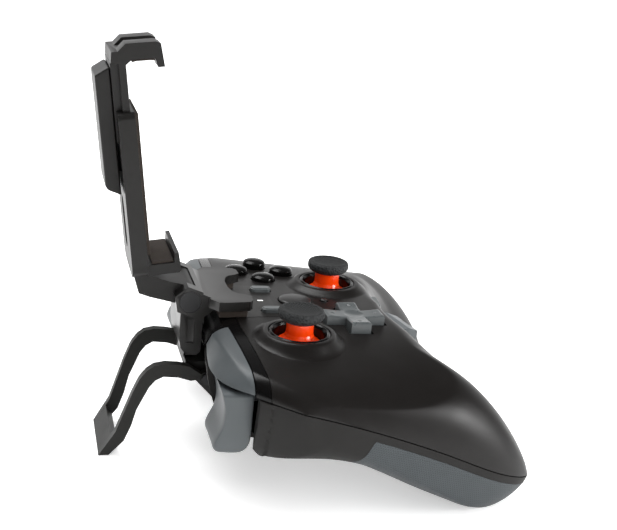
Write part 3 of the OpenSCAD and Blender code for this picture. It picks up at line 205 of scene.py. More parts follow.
# Closed shell of the housing, above or below its parting line, of an outer and an inner sheet. On a sheet x
# is the half width times the sine of an even angle, y goes from the front to the rear edge by an even
# cosine, so that points crowd at the rim, and z is the surface's height there. A groove holds both sheets
# that far under the parting line, and a lip pushes the border out.
def skin(name, up, across=200, along=150, inset=wall, groove=0.0, lip=0.0, surface=None):
    angles = np.radians(90 * (2 * np.arange(across + 1) / across - 1))[:, None]
    shares = ((1 - np.cos(np.pi * np.arange(along + 1) / along)) / 2)[None, :]
    surface = surface or (deckZ if up else underZ)

    def sheet(depth):
        x = (halfW - depth) * np.sin(angles) + 0 * shares
        s = np.abs(np.sin(angles)) + 0 * shares
        y = blendValues(frontY(s) + depth, rearY(s) - depth, shares)
        z = surface(x, y, depth)
        if groove:
            z = np.minimum(z, parting(y) - groove)
        rise = ease((y - triggerEdge + border["ahead"]) / border["rise"], 2)
        raised = rise * np.clip((np.abs(x) - border["from"]) / border["fade"], 0, 1)
        return np.stack([x + np.sign(x) * lip * raised, y, z], -1).reshape(-1, 3)

    points = np.concatenate([sheet(0.0), sheet(inset)])
    return makeObject(name, points, outward(points, slabFaces(across, along)))


# Prism over an outline, from low to high along an axis: outlines are in Y and Z, X and Z, or X and Y
def prism(outline, low, high, axis=2):
    n = len(outline)
    points = np.concatenate([np.insert(np.array(outline, float), axis, end, axis=1) for end in (low, high)])
    faces = [tuple(range(n - 1, -1, -1)), tuple(range(n, 2 * n))] \
        + [(k, (k + 1) % n, n + (k + 1) % n, n + k) for k in range(n)]
    return makeObject("cutter", points, outward(points, faces))


# Circle about a point, from its angle
def roundOutline(x, y, r, sides=64):
    a = 2 * np.pi * np.arange(sides) / sides
    return np.stack([x + r * np.cos(a), y + r * np.sin(a)], -1)


# Slot of a length and width, turned about its middle: a half circle at one end and its opposite at the other
def slotOutline(x, y, length, width, turn, sides=16):
    a = np.pi * (np.arange(sides + 1) / sides - 0.5)
    u, v = (length - width) / 2 + width / 2 * np.cos(a), width / 2 * np.sin(a)
    u, v = np.concatenate([u, -u]), np.concatenate([v, -v])
    c, s = math.cos(turn), math.sin(turn)
    return np.stack([x + u * c - v * s, y + u * s + v * c], -1)


# Applies the modifiers of a piece
def evaluated(piece):
    bpy.context.view_layer.update()
    graph = bpy.context.evaluated_depsgraph_get()
    mesh = bpy.data.meshes.new_from_object(piece.evaluated_get(graph))
    piece.modifiers.clear()
    piece.data = mesh


# Cuts a piece with a cutter, or keeps only what they share, and removes the cutter
def carve(piece, cutter, how="DIFFERENCE"):
    mod = piece.modifiers.new("carve", "BOOLEAN")
    mod.operation, mod.solver, mod.object = how, "MANIFOLD", cutter
    evaluated(piece)
    bpy.data.objects.remove(cutter)


# New object of a bmesh, which is freed
def fromBmesh(bm, name):
    mesh = bpy.data.meshes.new(name)
    bm.to_mesh(mesh)
    bm.free()
    piece = bpy.data.objects.new(name, mesh)
    bpy.context.scene.collection.objects.link(piece)
    return piece


# One object of several closed parts
def join(name, pieces):
    bm = bmesh.new()
    for piece in pieces:
        bm.from_mesh(piece.data)
        bpy.data.objects.remove(piece)
    return fromBmesh(bm, name)


# Twin on the other side, with its faces turned so that they still point outwards
def mirrored(piece, name):
    bm = bmesh.new()
    bm.from_mesh(piece.data)
    bmesh.ops.scale(bm, vec=(-1, 1, 1), verts=bm.verts)
    bmesh.ops.reverse_faces(bm, faces=bm.faces)
    return fromBmesh(bm, name)


# Smooth shading with a crease where faces meet at more than an angle in degrees
def shadeSmooth(piece, angle=35):
    for f in piece.data.polygons:
        f.use_smooth = True
    piece.data.set_sharp_from_angle(angle=math.radians(angle))


# Gives a finished piece its shading and material, hides the nodes it stands for and hangs it on the body it
# rides on
def place(piece, body, *replaced, slot=None, material=None, angle=35):
    if angle:
        shadeSmooth(piece, angle)
    piece.data.materials.clear()
    piece.data.materials.append(material)
    if replaced:
        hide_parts(*replaced)
    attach(piece, body)
    return piece


# One sRGB hex colour turned to linear values
def linear(hexColour):
    rgb = [int(hexColour[k:k + 2], 16) / 255 for k in (1, 3, 5)]
    return [c / 12.92 if c <= 0.04045 else ((c + 0.055) / 1.055) ** 2.4 for c in rgb] + [1.0]


# Sets or links a node's inputs, each given by its name or number
def feed(tree, node, inputs):
    for key, value in inputs.items():
        if isinstance(value, bpy.types.NodeSocket):
            tree.links.new(value, node.inputs[key])
        else:
            node.inputs[key].default_value = value


# Adds a node with its settings and its inputs, in order or in a dictionary, and gives one output or all
def addNode(tree, kind, *inputs, out=0, **settings):
    made = tree.nodes.new("ShaderNode" + kind)
    for key, value in settings.items():
        setattr(made, key, value)
    feed(tree, made, inputs[0] if inputs and isinstance(inputs[0], dict) else dict(enumerate(inputs)))
    return made.outputs if out is None else made.outputs[out]


# New material: itself, its node tree and its Principled shader
def newMaterial(name):
    material = bpy.data.materials.new(name)
    material.use_nodes = True
    tree = material.node_tree
    return material, tree, tree.nodes["Principled BSDF"]


# Moulded plastic: spark-eroded grain that softens the highlights, and faint patches in colour, 9 mm wide,
# and in gloss, 14 mm wide, as on any large moulding. Real grain is finer; it is drawn coarse enough to show.
def moulded(name, dark, light, rough, grain=0.35, depth=0.02, spread=0.08, specular=0.5, **extra):
    material, tree, shader = newMaterial(name)
    spot = addNode(tree, "TexCoord", out="Object")
    patch = addNode(tree, "TexNoise", {"Vector": spot, "Scale": 1 / (9 * mm), "Detail": 3}, out="Fac")
    cloud = addNode(tree, "TexNoise", {"Vector": spot, "Scale": 1 / (14 * mm), "Detail": 4, "Roughness": 0.6},
                    out="Fac")
    grains = addNode(tree, "TexNoise", {"Vector": spot, "Scale": 1 / (grain * mm), "Detail": 3,
                                        "Roughness": 0.6}, out="Fac")
    colour = addNode(tree, "Mix", {"Factor": patch, 6: linear(dark), 7: linear(light)}, out=2,
                     data_type="RGBA")
    gloss = addNode(tree, "MapRange", {"Value": cloud, "To Min": rough - spread, "To Max": rough + spread})
    relief = addNode(tree, "Bump", {"Height": grains, "Distance": depth * mm, "Strength": 1.0})
    feed(tree, shader, {"Base Color": colour, "Roughness": gloss, "Normal": relief,
                        "Specular IOR Level": specular, **extra})
    return material


# Plated, turned or drawn metal: bright, with fine streaks along x that break its highlights.
# The streaks are 25 mm by 0.56 mm, coarser than real ones, so that they show.
def brushed(name, dark, light, rough):
    material, tree, shader = newMaterial(name)
    x, y, z = addNode(tree, "SeparateXYZ", addNode(tree, "TexCoord", out="Object"), out=None)
    along = addNode(tree, "Math", x, 1 / (25 * mm), operation="MULTIPLY")
    side = addNode(tree, "Math", y, z, operation="ADD")
    across = addNode(tree, "Math", side, 1800.0, operation="MULTIPLY")
    streak = addNode(tree, "TexNoise", {"Vector": addNode(tree, "CombineXYZ", along, across), "Scale": 1.0},
                     out="Fac", noise_dimensions="2D")
    colour = addNode(tree, "Mix", {"Factor": streak, 6: linear(dark), 7: linear(light)}, out=2,
                     data_type="RGBA")
    gloss = addNode(tree, "MapRange", {"Value": streak, "To Min": rough * 0.8, "To Max": rough * 1.3})
    relief = addNode(tree, "Bump", {"Height": streak, "Distance": 0.01 * mm, "Strength": 1.0})
    feed(tree, shader, {"Base Color": colour, "Roughness": gloss, "Normal": relief, "Metallic": 1.0})
    return material


# Overmoulded grip: staggered rows of small dimples, painted as dark dots, which is painted shade in each
# hollow. They are laid on the side of a grip by y and z, turned by tilt, and on its underside by x and y
def dimpled(name, dark, light, pitch=0.95, dot=0.36, tilt=math.radians(14)):
    material, tree, shader = newMaterial(name)
    spot = addNode(tree, "TexCoord", out="Object")
    x, y, z = addNode(tree, "SeparateXYZ", spot, out=None)
    upright = addNode(tree, "SeparateXYZ", addNode(tree, "TexCoord", out="Normal"), out=2)

    # Distance from the nearest dot's middle, where rows are 0.87 of the pitch apart and every other row is
    # moved by half a pitch, levelled off with a soft edge at a distance of dot times the pitch
    def dots(u, v):
        row = addNode(tree, "Math", v, pitch * mm * 0.87, operation="DIVIDE")
        whole = addNode(tree, "Math", addNode(tree, "Math", row, 1000.0, operation="ADD"), operation="FLOOR")
        odd = addNode(tree, "Math", whole, 2.0, operation="MODULO")
        moved = addNode(tree, "Math", odd, 0.5, operation="MULTIPLY")
        column = addNode(tree, "Math", addNode(tree, "Math", u, pitch * mm, operation="DIVIDE"), moved,
                         operation="ADD")
        squares = []
        for cell in (column, row):
            part = addNode(tree, "Math", cell, operation="FRACT")
            off = addNode(tree, "Math", part, 0.5, operation="SUBTRACT")  # from the middle of the cell
            squares.append(addNode(tree, "Math", off, off, operation="MULTIPLY"))
        far = addNode(tree, "Math", addNode(tree, "Math", *squares, operation="ADD"), operation="SQRT")
        share = addNode(tree, "Math", far, dot, operation="DIVIDE")
        return addNode(tree, "Math", share, 1.0, 0.35, operation="SMOOTH_MIN")

    turned = []
    for first, second, operation in ((y, z, "ADD"), (z, y, "SUBTRACT")):
        near = addNode(tree, "Math", first, math.cos(tilt), operation="MULTIPLY")
        cross = addNode(tree, "Math", second, math.sin(tilt), operation="MULTIPLY")
        turned.append(addNode(tree, "Math", near, cross, operation=operation))
    level = addNode(tree, "Math", addNode(tree, "Math", upright, operation="ABSOLUTE"), 0.72,
                    operation="GREATER_THAN")
    height = addNode(tree, "Mix", {0: level, 2: dots(*turned), 3: dots(y, x)}, data_type="FLOAT")
    cloud = addNode(tree, "TexNoise", {"Vector": spot, "Scale": 1 / (8 * mm), "Detail": 3}, out="Fac")
    grains = addNode(tree, "TexNoise", {"Vector": spot, "Scale": 1 / (0.3 * mm)}, out="Fac")
    fine = addNode(tree, "Bump", {"Height": grains, "Distance": 0.012 * mm, "Strength": 1.0})
    # Colour by the same height as the bump: darkest in each dimple's middle, which is painted shade
    colour = addNode(tree, "Mix", {"Factor": height, 6: linear(dark), 7: linear(light)}, out=2,
                     data_type="RGBA")
    gloss = addNode(tree, "MapRange", {"Value": cloud, "To Min": 0.5, "To Max": 0.62})
    relief = addNode(tree, "Bump", {"Height": height, "Distance": 0.12 * mm, "Strength": 0.8, "Normal": fine})
    feed(tree, shader, {"Base Color": colour, "Roughness": gloss, "Normal": relief})
    return material


# Moulded rubber of a thumb cap: a fine crossed mesh in its dish and a pebbled side, both matt and grippy; the
# colour darkens in the grooves and pits as painted shade
def meshed(name, dark, light, pitch=1.25, pebble=0.8):
    material, tree, shader = newMaterial(name)
    spot = addNode(tree, "TexCoord", out="Object")
    x, y, z = addNode(tree, "SeparateXYZ", spot, out=None)
    upright = addNode(tree, "SeparateXYZ", addNode(tree, "TexCoord", out="Normal"), out=2)
    waves = []
    for operation in ("ADD", "SUBTRACT"):
        diagonal = addNode(tree, "Math", x, y, operation=operation)
        phase = addNode(tree, "Math", diagonal, math.pi / (pitch * mm), operation="MULTIPLY")
        wave = addNode(tree, "Math", phase, operation="SINE")
        waves.append(addNode(tree, "Math", wave, operation="ABSOLUTE"))
    grid = addNode(tree, "Math", *waves, operation="MULTIPLY")
    cells = addNode(tree, "TexVoronoi", {"Vector": spot, "Scale": 1 / (pebble * mm)}, out="Distance",
                    feature="F1")
    pebbles = addNode(tree, "Math", cells, 1.3, operation="MULTIPLY")
    level = addNode(tree, "Math", upright, 0.8, operation="GREATER_THAN")
    height = addNode(tree, "Mix", {0: level, 2: pebbles, 3: grid}, data_type="FLOAT")
    # Colour by the same height as the bump: darker in the grooves and pits, which is painted shade
    colour = addNode(tree, "Mix", {"Factor": height, 6: linear(dark), 7: linear(light)}, out=2,
                     data_type="RGBA")
    relief = addNode(tree, "Bump", {"Height": height, "Distance": 0.25 * mm, "Strength": 1.0})
    feed(tree, shader, {"Base Color": colour, "Normal": relief, "Roughness": 0.72,
                        "Specular IOR Level": 0.35})
    return material


# Sizes are in millimetres: the grain's width and its depth
materials = {
    # ABS with a soft-touch coat: near black with one broad soft shine
    "shell_plastic": moulded("soft_touch_black", "#110f0e", "#161413", 0.38, 0.3, 0.012, specular=0.24),
    # Bare moulded ABS: a little greyer and much duller than the coated deck, so the parting line shows
    "under_plastic": moulded("moulded_black", "#191817", "#1f1e1d", 0.6, 0.4, 0.02, specular=0.22),
    # Overmoulded elastomer: slate grey with rows of dimples, their middles darkened as painted shade
    "grip_plastic": dimpled("dimpled_slate_plastic", "#0f1214", "#363c3f"),
    # Satin moulded ABS: an even mid grey whose shine fades out over the whole shoulder
    "shoulder_plastic": moulded("satin_grey_plastic", "#4a4f51", "#515557", 0.42, 0.25, 0.006, specular=0.4),
    # The same plastic from a finer mould: a tighter shine on the D-pad and the keys
    "key_plastic": moulded("satin_key_plastic", "#45494a", "#4d5152", 0.3, 0.25, 0.006, specular=0.6),
    # High-gloss moulded ABS: almost black, with small sharp highlights
    "gloss_black": moulded("gloss_black_plastic", "#080808", "#0d0c0c", 0.2, 2, 0.002, 0.03, specular=0.2),
    # Satin moulded ABS of the panel: one step lighter than the deck round it
    "panel_plastic": moulded("satin_panel_plastic", "#1b1a19", "#201f1e", 0.36, 0.3, 0.01, specular=0.25),
    # Satin black ABS keys: dark, but light enough to stand off the panel
    "dark_key": moulded("satin_black_key", "#232222", "#2a2929", 0.35, 0.3, 0.006, specular=0.35),
    # Moulded rubber of the thumb caps: charcoal, matt, with a pattern whose grooves and pits are darkened as
    # painted shade
    "cap_rubber": meshed("charcoal_rubber", "#151616", "#313233"),
    # Glossy dyed ABS: saturated orange, with a faint painted glow from its emission that stands in for light
    # passing through thin dyed plastic
    "stem_plastic": moulded("gloss_orange_plastic", "#f23c04", "#f94608", 0.25, 1.5, 0.003, 0.04,
                            **{"Subsurface Weight": 0.08, "Emission Color": (0.9, 0.05, 0.003, 1),
                               "Emission Strength": 0.1}),
    # Moulded ABS of the phone clip: black with a dull even shine
    "clip_plastic": moulded("satin_black_plastic", "#151413", "#1b1a19", 0.42, 0.35, 0.015, specular=0.25),
    # Glass-filled nylon of the kickstand: a shade lighter and duller than the clip
    "stand_plastic": moulded("satin_dark_plastic", "#191917", "#1f1f1d", 0.48, 0.35, 0.015, specular=0.2),
    # Polished ABS of the bracket: flat faces that pick up the studio as a clear sheen
    "bracket_plastic": moulded("polished_black_plastic", "#171615", "#1c1b1a", 0.3, 0.6, 0.002, 0.02,
                               specular=0.4),
    # Grained silicone of the pads: brownish, matt and coarse
    "clip_rubber": moulded("grained_rubber", "#28231f", "#3c3530", 0.8, 0.6, 0.12, specular=0.3),
    # Silicone of the button domes: milky and soft
    "membrane_rubber": moulded("silicone_rubber", "#c2c2ba", "#d2d2ca", 0.5, 1, 0.01,
                               **{"Subsurface Weight": 0.2}),
    # Unpainted ABS and nylon of the inner parts: plain mid grey
    "inner_plastic": moulded("engineering_plastic", "#454749", "#515355", 0.5),
    # Clear polycarbonate light guide, lit from behind: an even white spot
    "light_plastic": moulded("light_guide_plastic", "#f2f5f5", "#ffffff", 0.25, 1, 0.002, 0.05,
                             **{"Emission Color": (1, 1, 1, 1), "Emission Strength": 0.8}),
    # Solder mask over glass laminate: deep green with a smooth shine
    "board": moulded("solder_mask", "#12512c", "#1b6a3a", 0.35, 0.8, 0.02),
    # Foil-wrapped cell: bluish grey, half metallic, slightly wavy
    "cell": moulded("wrapped_cell", "#6d7880", "#7f8a92", 0.35, 3, 0.05, **{"Metallic": 0.7}),
    # Zinc-plated steel: light grey, softly streaked
    "steel": brushed("zinc_plated_steel", "#a9abae", "#c8cacd", 0.3),
    # Blackened steel of the pins: near black with a faint metal shine
    "dark_steel": moulded("blackened_steel", "#1b1b1c", "#242425", 0.38, 0.5, 0.006, **{"Metallic": 0.4}),
    # Turned brass: yellow, softly streaked
    "brass": brushed("turned_brass", "#b08d45", "#cfae62", 0.32),
    # Drawn bright steel of the socket's shell: the brightest metal here
    "socket_steel": brushed("bright_steel", "#b4b8bb", "#d4d7d9", 0.25),
}
print("materials", len(materials))

below, high = -1, 2 * deckH  # under and above everything in the housing
underDeck = 30  # under the deck's wall, where the cutters of its openings start
oblongCuts = [slotOutline(*startAt, oblongL + 2 * gap, oblongW + 2 * gap, math.pi / 2),
              slotOutline(*selectAt, oblongL + 2 * gap, oblongW + 2 * gap, math.pi / 2),
              slotOutline(*lightAt, lightL + lightGap, lightW + lightGap, math.pi / 2)]
shellCuts = [roundOutline(facesAt[0] + u * facePitch, facesAt[1] + v * facePitch, faceR + gap)
             for u, v in ((0, 1), (0, -1), (1, 0), (-1, 0))]
shellCuts += [roundOutline(*homeAt, homeR + gap), roundOutline(*modeAt, modeR + gap, 32)] + oblongCuts
armL, armW = dpadSpan / 2 + dpadSlack, dpadArm / 2 + dpadSlack
cross = [(armL, -armW), (armL, armW), (armW, armW), (armW, armL), (-armW, armL), (-armW, armW),
         (-armL, armW), (-armL, -armW), (-armW, -armW), (-armW, -armL), (armW, -armL), (armW, -armW)]
shellCuts.append([(dpadAt[0] + u, dpadAt[1] + v) for u, v in cross])


# Everything behind the seam between deck and shoulders, moved forward by back
def behindSeam(back):
    xs = [-2 * halfW, -halfW, -bumperIn, bumperIn, halfW, 2 * halfW]
    line = [(x, float(seamY(min(halfW, abs(x)))) - back) for x in xs]
    return prism(line + [(2 * halfW, 2 * halfW), (-2 * halfW, 2 * halfW)], below, high)


# Room for the frame of the charging port: a box turned with it, open to the front
def portBox():
    c, s = math.cos(portTurn), math.sin(portTurn)
    side = portW / 2 + seat
    corners = [(-side, -halfW), (side, -halfW), (side, portD), (-side, portD)]
    outline = [(portAt[0] + u * c - v * s, portAt[1] + u * s + v * c) for u, v in corners]
    return prism(outline, portZ - portH / 2 - seat, portZ + portH / 2 + seat)


topShell = skin("top_shell_skin", True)
carve(topShell, behindSeam(trimW))
for outline in shellCuts:
    carve(topShell, prism(outline, underDeck, high))
# The pairing bar's opening ends a gap under the bar, so that the front wall behind it stays closed. Pressed
# all the way, the bar goes about 0.3 mm into this skin.
carve(topShell, prism(slotOutline(*pairAt, barL + 2 * gap, barW + 2 * gap, barTurn),
                      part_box("pairing_bar")[0][2] / mm - gap, high))
carve(topShell, portBox())

# Raised collar round each stick: share of its rise at each radius
collarShape = {"sides": 160, "under": 0.2, "radii": [ringR + seat, ringR + seat, ringR + 0.25, 12.3, 12.9,
                                                     13.2, 13.5, 13.8, 14.1, 14.5, 14.9, 15.3, 15.7, 16.1,
                                                     16.5, 16.9, 17.2, 17.4],
               "rise": [0, 0.8, 1, 1, 0.985, 0.955, 0.9, 0.82, 0.73, 0.61, 0.49, 0.375, 0.27, 0.175, 0.1,
                        0.04, 0.01, 0]}
for spot in (leftStick, rightStick):
    hole = roundOutline(*spot, collarShape["radii"][-1], collarShape["sides"])
    carve(topShell, prism(hole, underDeck, high))


# Collar: rings about the stick's axis, each at the deck's height plus its share of the way up to just under
# the stick ring's top, so it is flat round the ring and flows down to the deck; the first ring is its foot
def collar(spot, name):
    sides = collarShape["sides"]
    a = 2 * np.pi * np.arange(sides) / sides
    rings = []
    for k, (radius, share) in enumerate(zip(collarShape["radii"], collarShape["rise"])):
        x, y = spot[0] + radius * np.cos(a), spot[1] + radius * np.sin(a)
        z = deckZ(x, y)
        z = z + (ringZ - collarShape["under"] - z) * share if k else z * 0 + deckH - 1.2 * wall
        rings.append(np.stack([x, y, z], -1))
    return makeObject(name, np.concatenate(rings), [f[::-1] for f in ringFaces(len(rings), sides)])


topShell = join("top_shell_skin", [topShell, collar(leftStick, "left"), collar(rightStick, "right")])
place(topShell, "controller", "top_shell", slot="shell_plastic", material=materials["shell_plastic"])

# Grip pad seen from the side: its rear edge as shares of the grip's reach and the deck's height, and how far
# its upper edge stays under the parting line
gripPadShape = {"inner": 0.55, "under": 3.6,
                "rear": [(-0.088, 0.575), (-0.072, 0.53), (-0.05, 0.48), (-0.027, 0.435), (0, 0.39),
                         (0.03, 0.355), (0.06, 0.335), (0.1, 0.325), (0.1, -0.1)]}
padIn = gripPadShape["inner"] * halfW


# Outline of the pad in Y and Z, made larger by clear for its seat in the bottom shell
def padOutline(clear):
    ys = np.linspace(-1.1 * gripReach, -0.1 * gripReach, 24)
    upper = np.stack([ys, parting(np.maximum(ys, -gripReach)) - gripPadShape["under"] + clear], -1)
    rear = np.array(gripPadShape["rear"]) * (gripReach, deckH) + (clear, 0)
    return np.concatenate([upper, rear, [(-1.1 * gripReach, -0.1 * deckH)]])


# Openings and wells of the bottom shell, in millimetres and degrees
bottomShape = {"groove": 0.45, "lip": 0.9, "openFrom": 11, "openRear": 80, "pull": 12, "wellOver": 9}
boss = {"sides": 64, "lap": 0.01, "wall": 1.5, "broken": 0.2, "floor": 1.5, "holeR": 1.6, "in": 0.05,
        "foot": 0.8}
gripPad = skin("right_grip_pad_skin", False)
bottomShell = skin("bottom_shell_skin", False, groove=bottomShape["groove"], lip=bottomShape["lip"])
triggerIn = triggerMid - triggerW / 2 - gap - seat
swingBack, swingLow = triggerEdge - seat, bellyH / 2
swingReach = (triggerPivot - swingLow) * math.tan(math.radians(bottomShape["pull"]))
for side in (1, -1):
    carve(bottomShell, prism(padOutline(seat), *sorted((side * (padIn - seat), side * 2 * halfW)), axis=0))
    opening = ((triggerIn, triggerEdge), (2 * halfW, triggerEdge), (2 * halfW, bottomShape["openRear"]),
               (triggerIn, bottomShape["openRear"]))
    carve(bottomShell, prism([(side * x, y) for x, y in opening], bottomShape["openFrom"], high))
    # Wedge of room in front of the trigger for its pull
    swing = [(swingBack, triggerPivot), (swingBack - swingReach, swingLow), (triggerEdge + 1, swingLow),
             (triggerEdge + 1, triggerPivot)]
    swingEnds = sorted((side * triggerIn, side * (triggerIn + triggerW + 2 * (gap + seat))))
    carve(bottomShell, prism(swing, *swingEnds, axis=0))
    for x, y in screwAt:
        carve(bottomShell, prism(roundOutline(side * x, y, wellR, boss["sides"]), below,
                                 wellTop + bottomShape["wellOver"]))


# Boss round a screw well: rings about the screw's axis, up the well, over its floor with the screw's hole
# and down the outside; the first and the last ring follow the underside's height
def bossTube(x, y):
    sides = boss["sides"]
    a = 2 * np.pi * np.arange(sides) / sides
    inside, outside = wellR - boss["lap"], wellR + boss["wall"]
    floorZ = wellTop - boss["floor"]
    profile = ((inside, boss["in"]), (inside, floorZ), (boss["holeR"], floorZ), (boss["holeR"], wellTop),
               (outside - boss["broken"], wellTop), (outside, wellTop - boss["broken"]),
               (outside, boss["foot"]))
    rings = []
    for radius, z in profile:
        px, py = x + radius * np.cos(a), y + radius * np.sin(a)
        rings.append(np.stack([px, py, underZ(px, py) + z if z < 1 else px * 0 + z], -1))
    points = np.concatenate(rings)
    return makeObject("boss", points, outward(points, ringFaces(len(rings), sides, True)))


tubes = [bossTube(side * x, y) for x, y in screwAt for side in (1, -1)]
bottomShell = join("bottom_shell_skin", [bottomShell] + tubes)
place(bottomShell, "controller", "bottom_shell", slot="shell_plastic", material=materials["under_plastic"])
carve(gripPad, prism(padOutline(0), padIn, 2 * halfW, axis=0), "INTERSECT")
leftPad = mirrored(gripPad, "left_grip_pad_skin")
place(gripPad, "controller", "right_grip_pad", slot="grip_plastic", material=materials["grip_plastic"])
place(leftPad, "controller", "left_grip_pad", slot="grip_plastic", material=materials["grip_plastic"])

trim = skin("shoulder_trim_skin", True)
carve(trim, behindSeam(trimW - gap / 2), "INTERSECT")

# Bumper: where its crease runs in Y at each X, how flat the round is behind it, and how far its lower edge
# stays over the parting line
bumperShape = {"crease": [[0, 44], [30, 43.2], [46, 41.7], [58, 39.4], [66, 36.6], [70, 34.8], [77, 34]],
               "flat": 0.8, "lift": 1.4}


# Room of the right bumper seen from above, behind the seam, made larger by clear
def bumperZone(clear):
    near, far = float(seamY(bumperIn)) - clear, float(seamY(halfW)) - clear
    return prism([(bumperIn - clear, near), (halfW + 5, far), (halfW + 5, 2 * halfW),
                  (bumperIn - clear, 2 * halfW)], below, high)


# Deck surface with a crease along each bumper: behind the crease its height moves most of the way to the
# straight chord from the crease down to the parting line
def creased(x, y, inset=0.0):
    z = deckZ(x, y, inset)
    edgeY = smooth(bumperShape["crease"], np.abs(x))
    rear = rearY(np.minimum(1, np.abs(x) / (halfW - inset))) - inset
    t = np.clip((y - edgeY) / np.maximum(0.5, rear - edgeY), 0, 1)
    chord = blendValues(deckZ(x, np.minimum(edgeY, rear), inset), parting(y), t)
    return np.where(y > edgeY, z - bumperShape["flat"] * np.maximum(0, z - chord), z)


bumper = skin("right_bumper_skin", True, surface=creased)
carve(bumper, bumperZone(-gap / 2), "INTERSECT")
nearZone = bumperZone(gap / 2)
farZone = mirrored(nearZone, "cutter")
for zone in (nearZone, farZone):
    carve(trim, zone)
place(trim, "controller", "shoulder_trim", slot="gloss_black", material=materials["gloss_black"])
lift = bumperShape["lift"]
sideZ, middleZ = float(parting(seamY(halfW))) + lift / 4, float(parting(rearReach)) + lift
lowEdge = [(0, 0), (2 * halfW, 0), (2 * halfW, sideZ), (halfW, sideZ), (bumperIn, middleZ), (0, middleZ)]
carve(bumper, prism(lowEdge, -10, 100, axis=1))
leftBumper = mirrored(bumper, "left_bumper_skin")
for piece, node in ((bumper, "right_bumper"), (leftBumper, "left_bumper")):
    place(piece, node, node, slot="shoulder_plastic", material=materials["shoulder_plastic"])

# Trigger: its side view as shares of depth and height, the outer face first and then the inner, the rest in
# millimetres; draw is the share of its width over which each end draws in
trigger = {"back": 45.1, "front": 33.6, "drop": 1.2, "short": 2.0, "axleIn": 8.5, "earW": 6.0, "earR": 2.9,
           "draw": 0.14, "drawPower": 2.2, "hollow": 0.02,
           "scoop": [(0, 0), (0.3, -0.11), (0.55, -0.07), (0.78, 0.12), (0.86, 0.17), (0.93, 0.15),
                     (0.98, 0.07), (1, -0.08)],
           "inner": [(0.35, 1.01), (0.12, 0.94), (0.02, 0.8), (0, 0.3), (0, 0)]}


# Smooth open curve through points in a plane, spaced by their distance: x and y each a smooth table of it
def through(points, count):
    pts = np.array(points, float)
    t = np.concatenate([[0], np.cumsum(np.hypot(*np.diff(pts, axis=0).T))])
    u = np.linspace(0, t[-1], count)
    return np.stack([smooth(np.stack([t, pts[:, k]], -1), u) for k in (0, 1)], -1)


# The trigger is its side view carried across its width: both ends draw in towards the middle along a quarter
# round, and the outer face is hollowed by a half sine that is deepest in the middle, where the finger lies
pivotY = rearReach - trigger["axleIn"]
triggerTop = float(parting(pivotY)) - trigger["drop"]
triggerTall = triggerTop - bellyH - trigger["drop"] - trigger["short"]
sideLine = through([(1 + v, u) for u, v in trigger["scoop"]] + trigger["inner"], 90)
draw = trigger["draw"]
ends = np.concatenate([draw * (1 - np.cos(np.pi / 2 * np.arange(9) / 8)),
                       draw + (1 - 2 * draw) * np.arange(1, 12) / 12,
                       1 - draw * (1 - np.cos(np.pi / 2 * np.arange(8, -1, -1) / 8))])
isOuter = sideLine[:, 0] > 0.5
rings = []
for t in ends:
    full = 1 - draw + draw * float(ease(min(t, 1 - t) / draw, trigger["drawPower"]))
    hollow = trigger["hollow"] * math.sin(math.pi * t)
    depth = blendValues(0.5, sideLine[:, 0], full) - hollow * isOuter
    y = blendValues(trigger["front"], trigger["back"], depth)
    z = triggerTop - triggerTall * blendValues(0.5, sideLine[:, 1], full)
    rings.append(np.stack([triggerMid - triggerW * (t - 0.5) + 0 * y, y, z], -1))
count = len(sideLine)
faces = ringFaces(len(rings), count)
faces += [tuple(range(count - 1, -1, -1)), tuple(range((len(rings) - 1) * count, len(rings) * count))]
points = np.concatenate(rings)
rightTrigger = makeObject("right_trigger_skin", points, outward(points, faces))
# Hollow for the trigger's ear and its pivot
earHalf, earRear = trigger["earW"] / 2 + gap, pivotY + trigger["earR"] + gap
carve(rightTrigger, prism([(triggerMid - earHalf, triggerEdge - 1), (triggerMid + earHalf, triggerEdge - 1),
                           (triggerMid + earHalf, earRear), (triggerMid - earHalf, earRear)],
                          triggerPivot - triggerTall, high))
leftTrigger = mirrored(rightTrigger, "left_trigger_skin")
for piece, node in ((rightTrigger, "right_trigger"), (leftTrigger, "left_trigger")):
    place(piece, node, node, slot="shoulder_plastic", material=materials["shoulder_plastic"], angle=30)
print("housing", sum(len(o.data.polygons) for o in (topShell, bottomShell, gripPad, trim, bumper)))


# Copy of a CAD node, its doubles merged and its flat faces made whole, with its sharp edges rounded to width
# The bevel keeps the flat faces' own normals, so they stay flat to the eye
def rounded(node, body, material, width, slot):
    bm = bmesh.new()
    bm.from_mesh(nodes[node].data)
    bmesh.ops.remove_doubles(bm, verts=bm.verts, dist=0.002 * mm)
    bmesh.ops.dissolve_limit(bm, angle_limit=math.radians(1), verts=bm.verts, edges=bm.edges)
    piece = fromBmesh(bm, node + "_finish")
    shadeSmooth(piece, roundedAngle)
    mod = piece.modifiers.new("edge", "BEVEL")
    mod.width, mod.segments, mod.limit_method = width * mm, 2, "ANGLE"
    mod.angle_limit = math.radians(roundedAngle)
    mod.use_clamp_overlap = True
    mod.harden_normals = True
    evaluated(piece)
    return place(piece, body, node, slot=slot, material=material, angle=None)


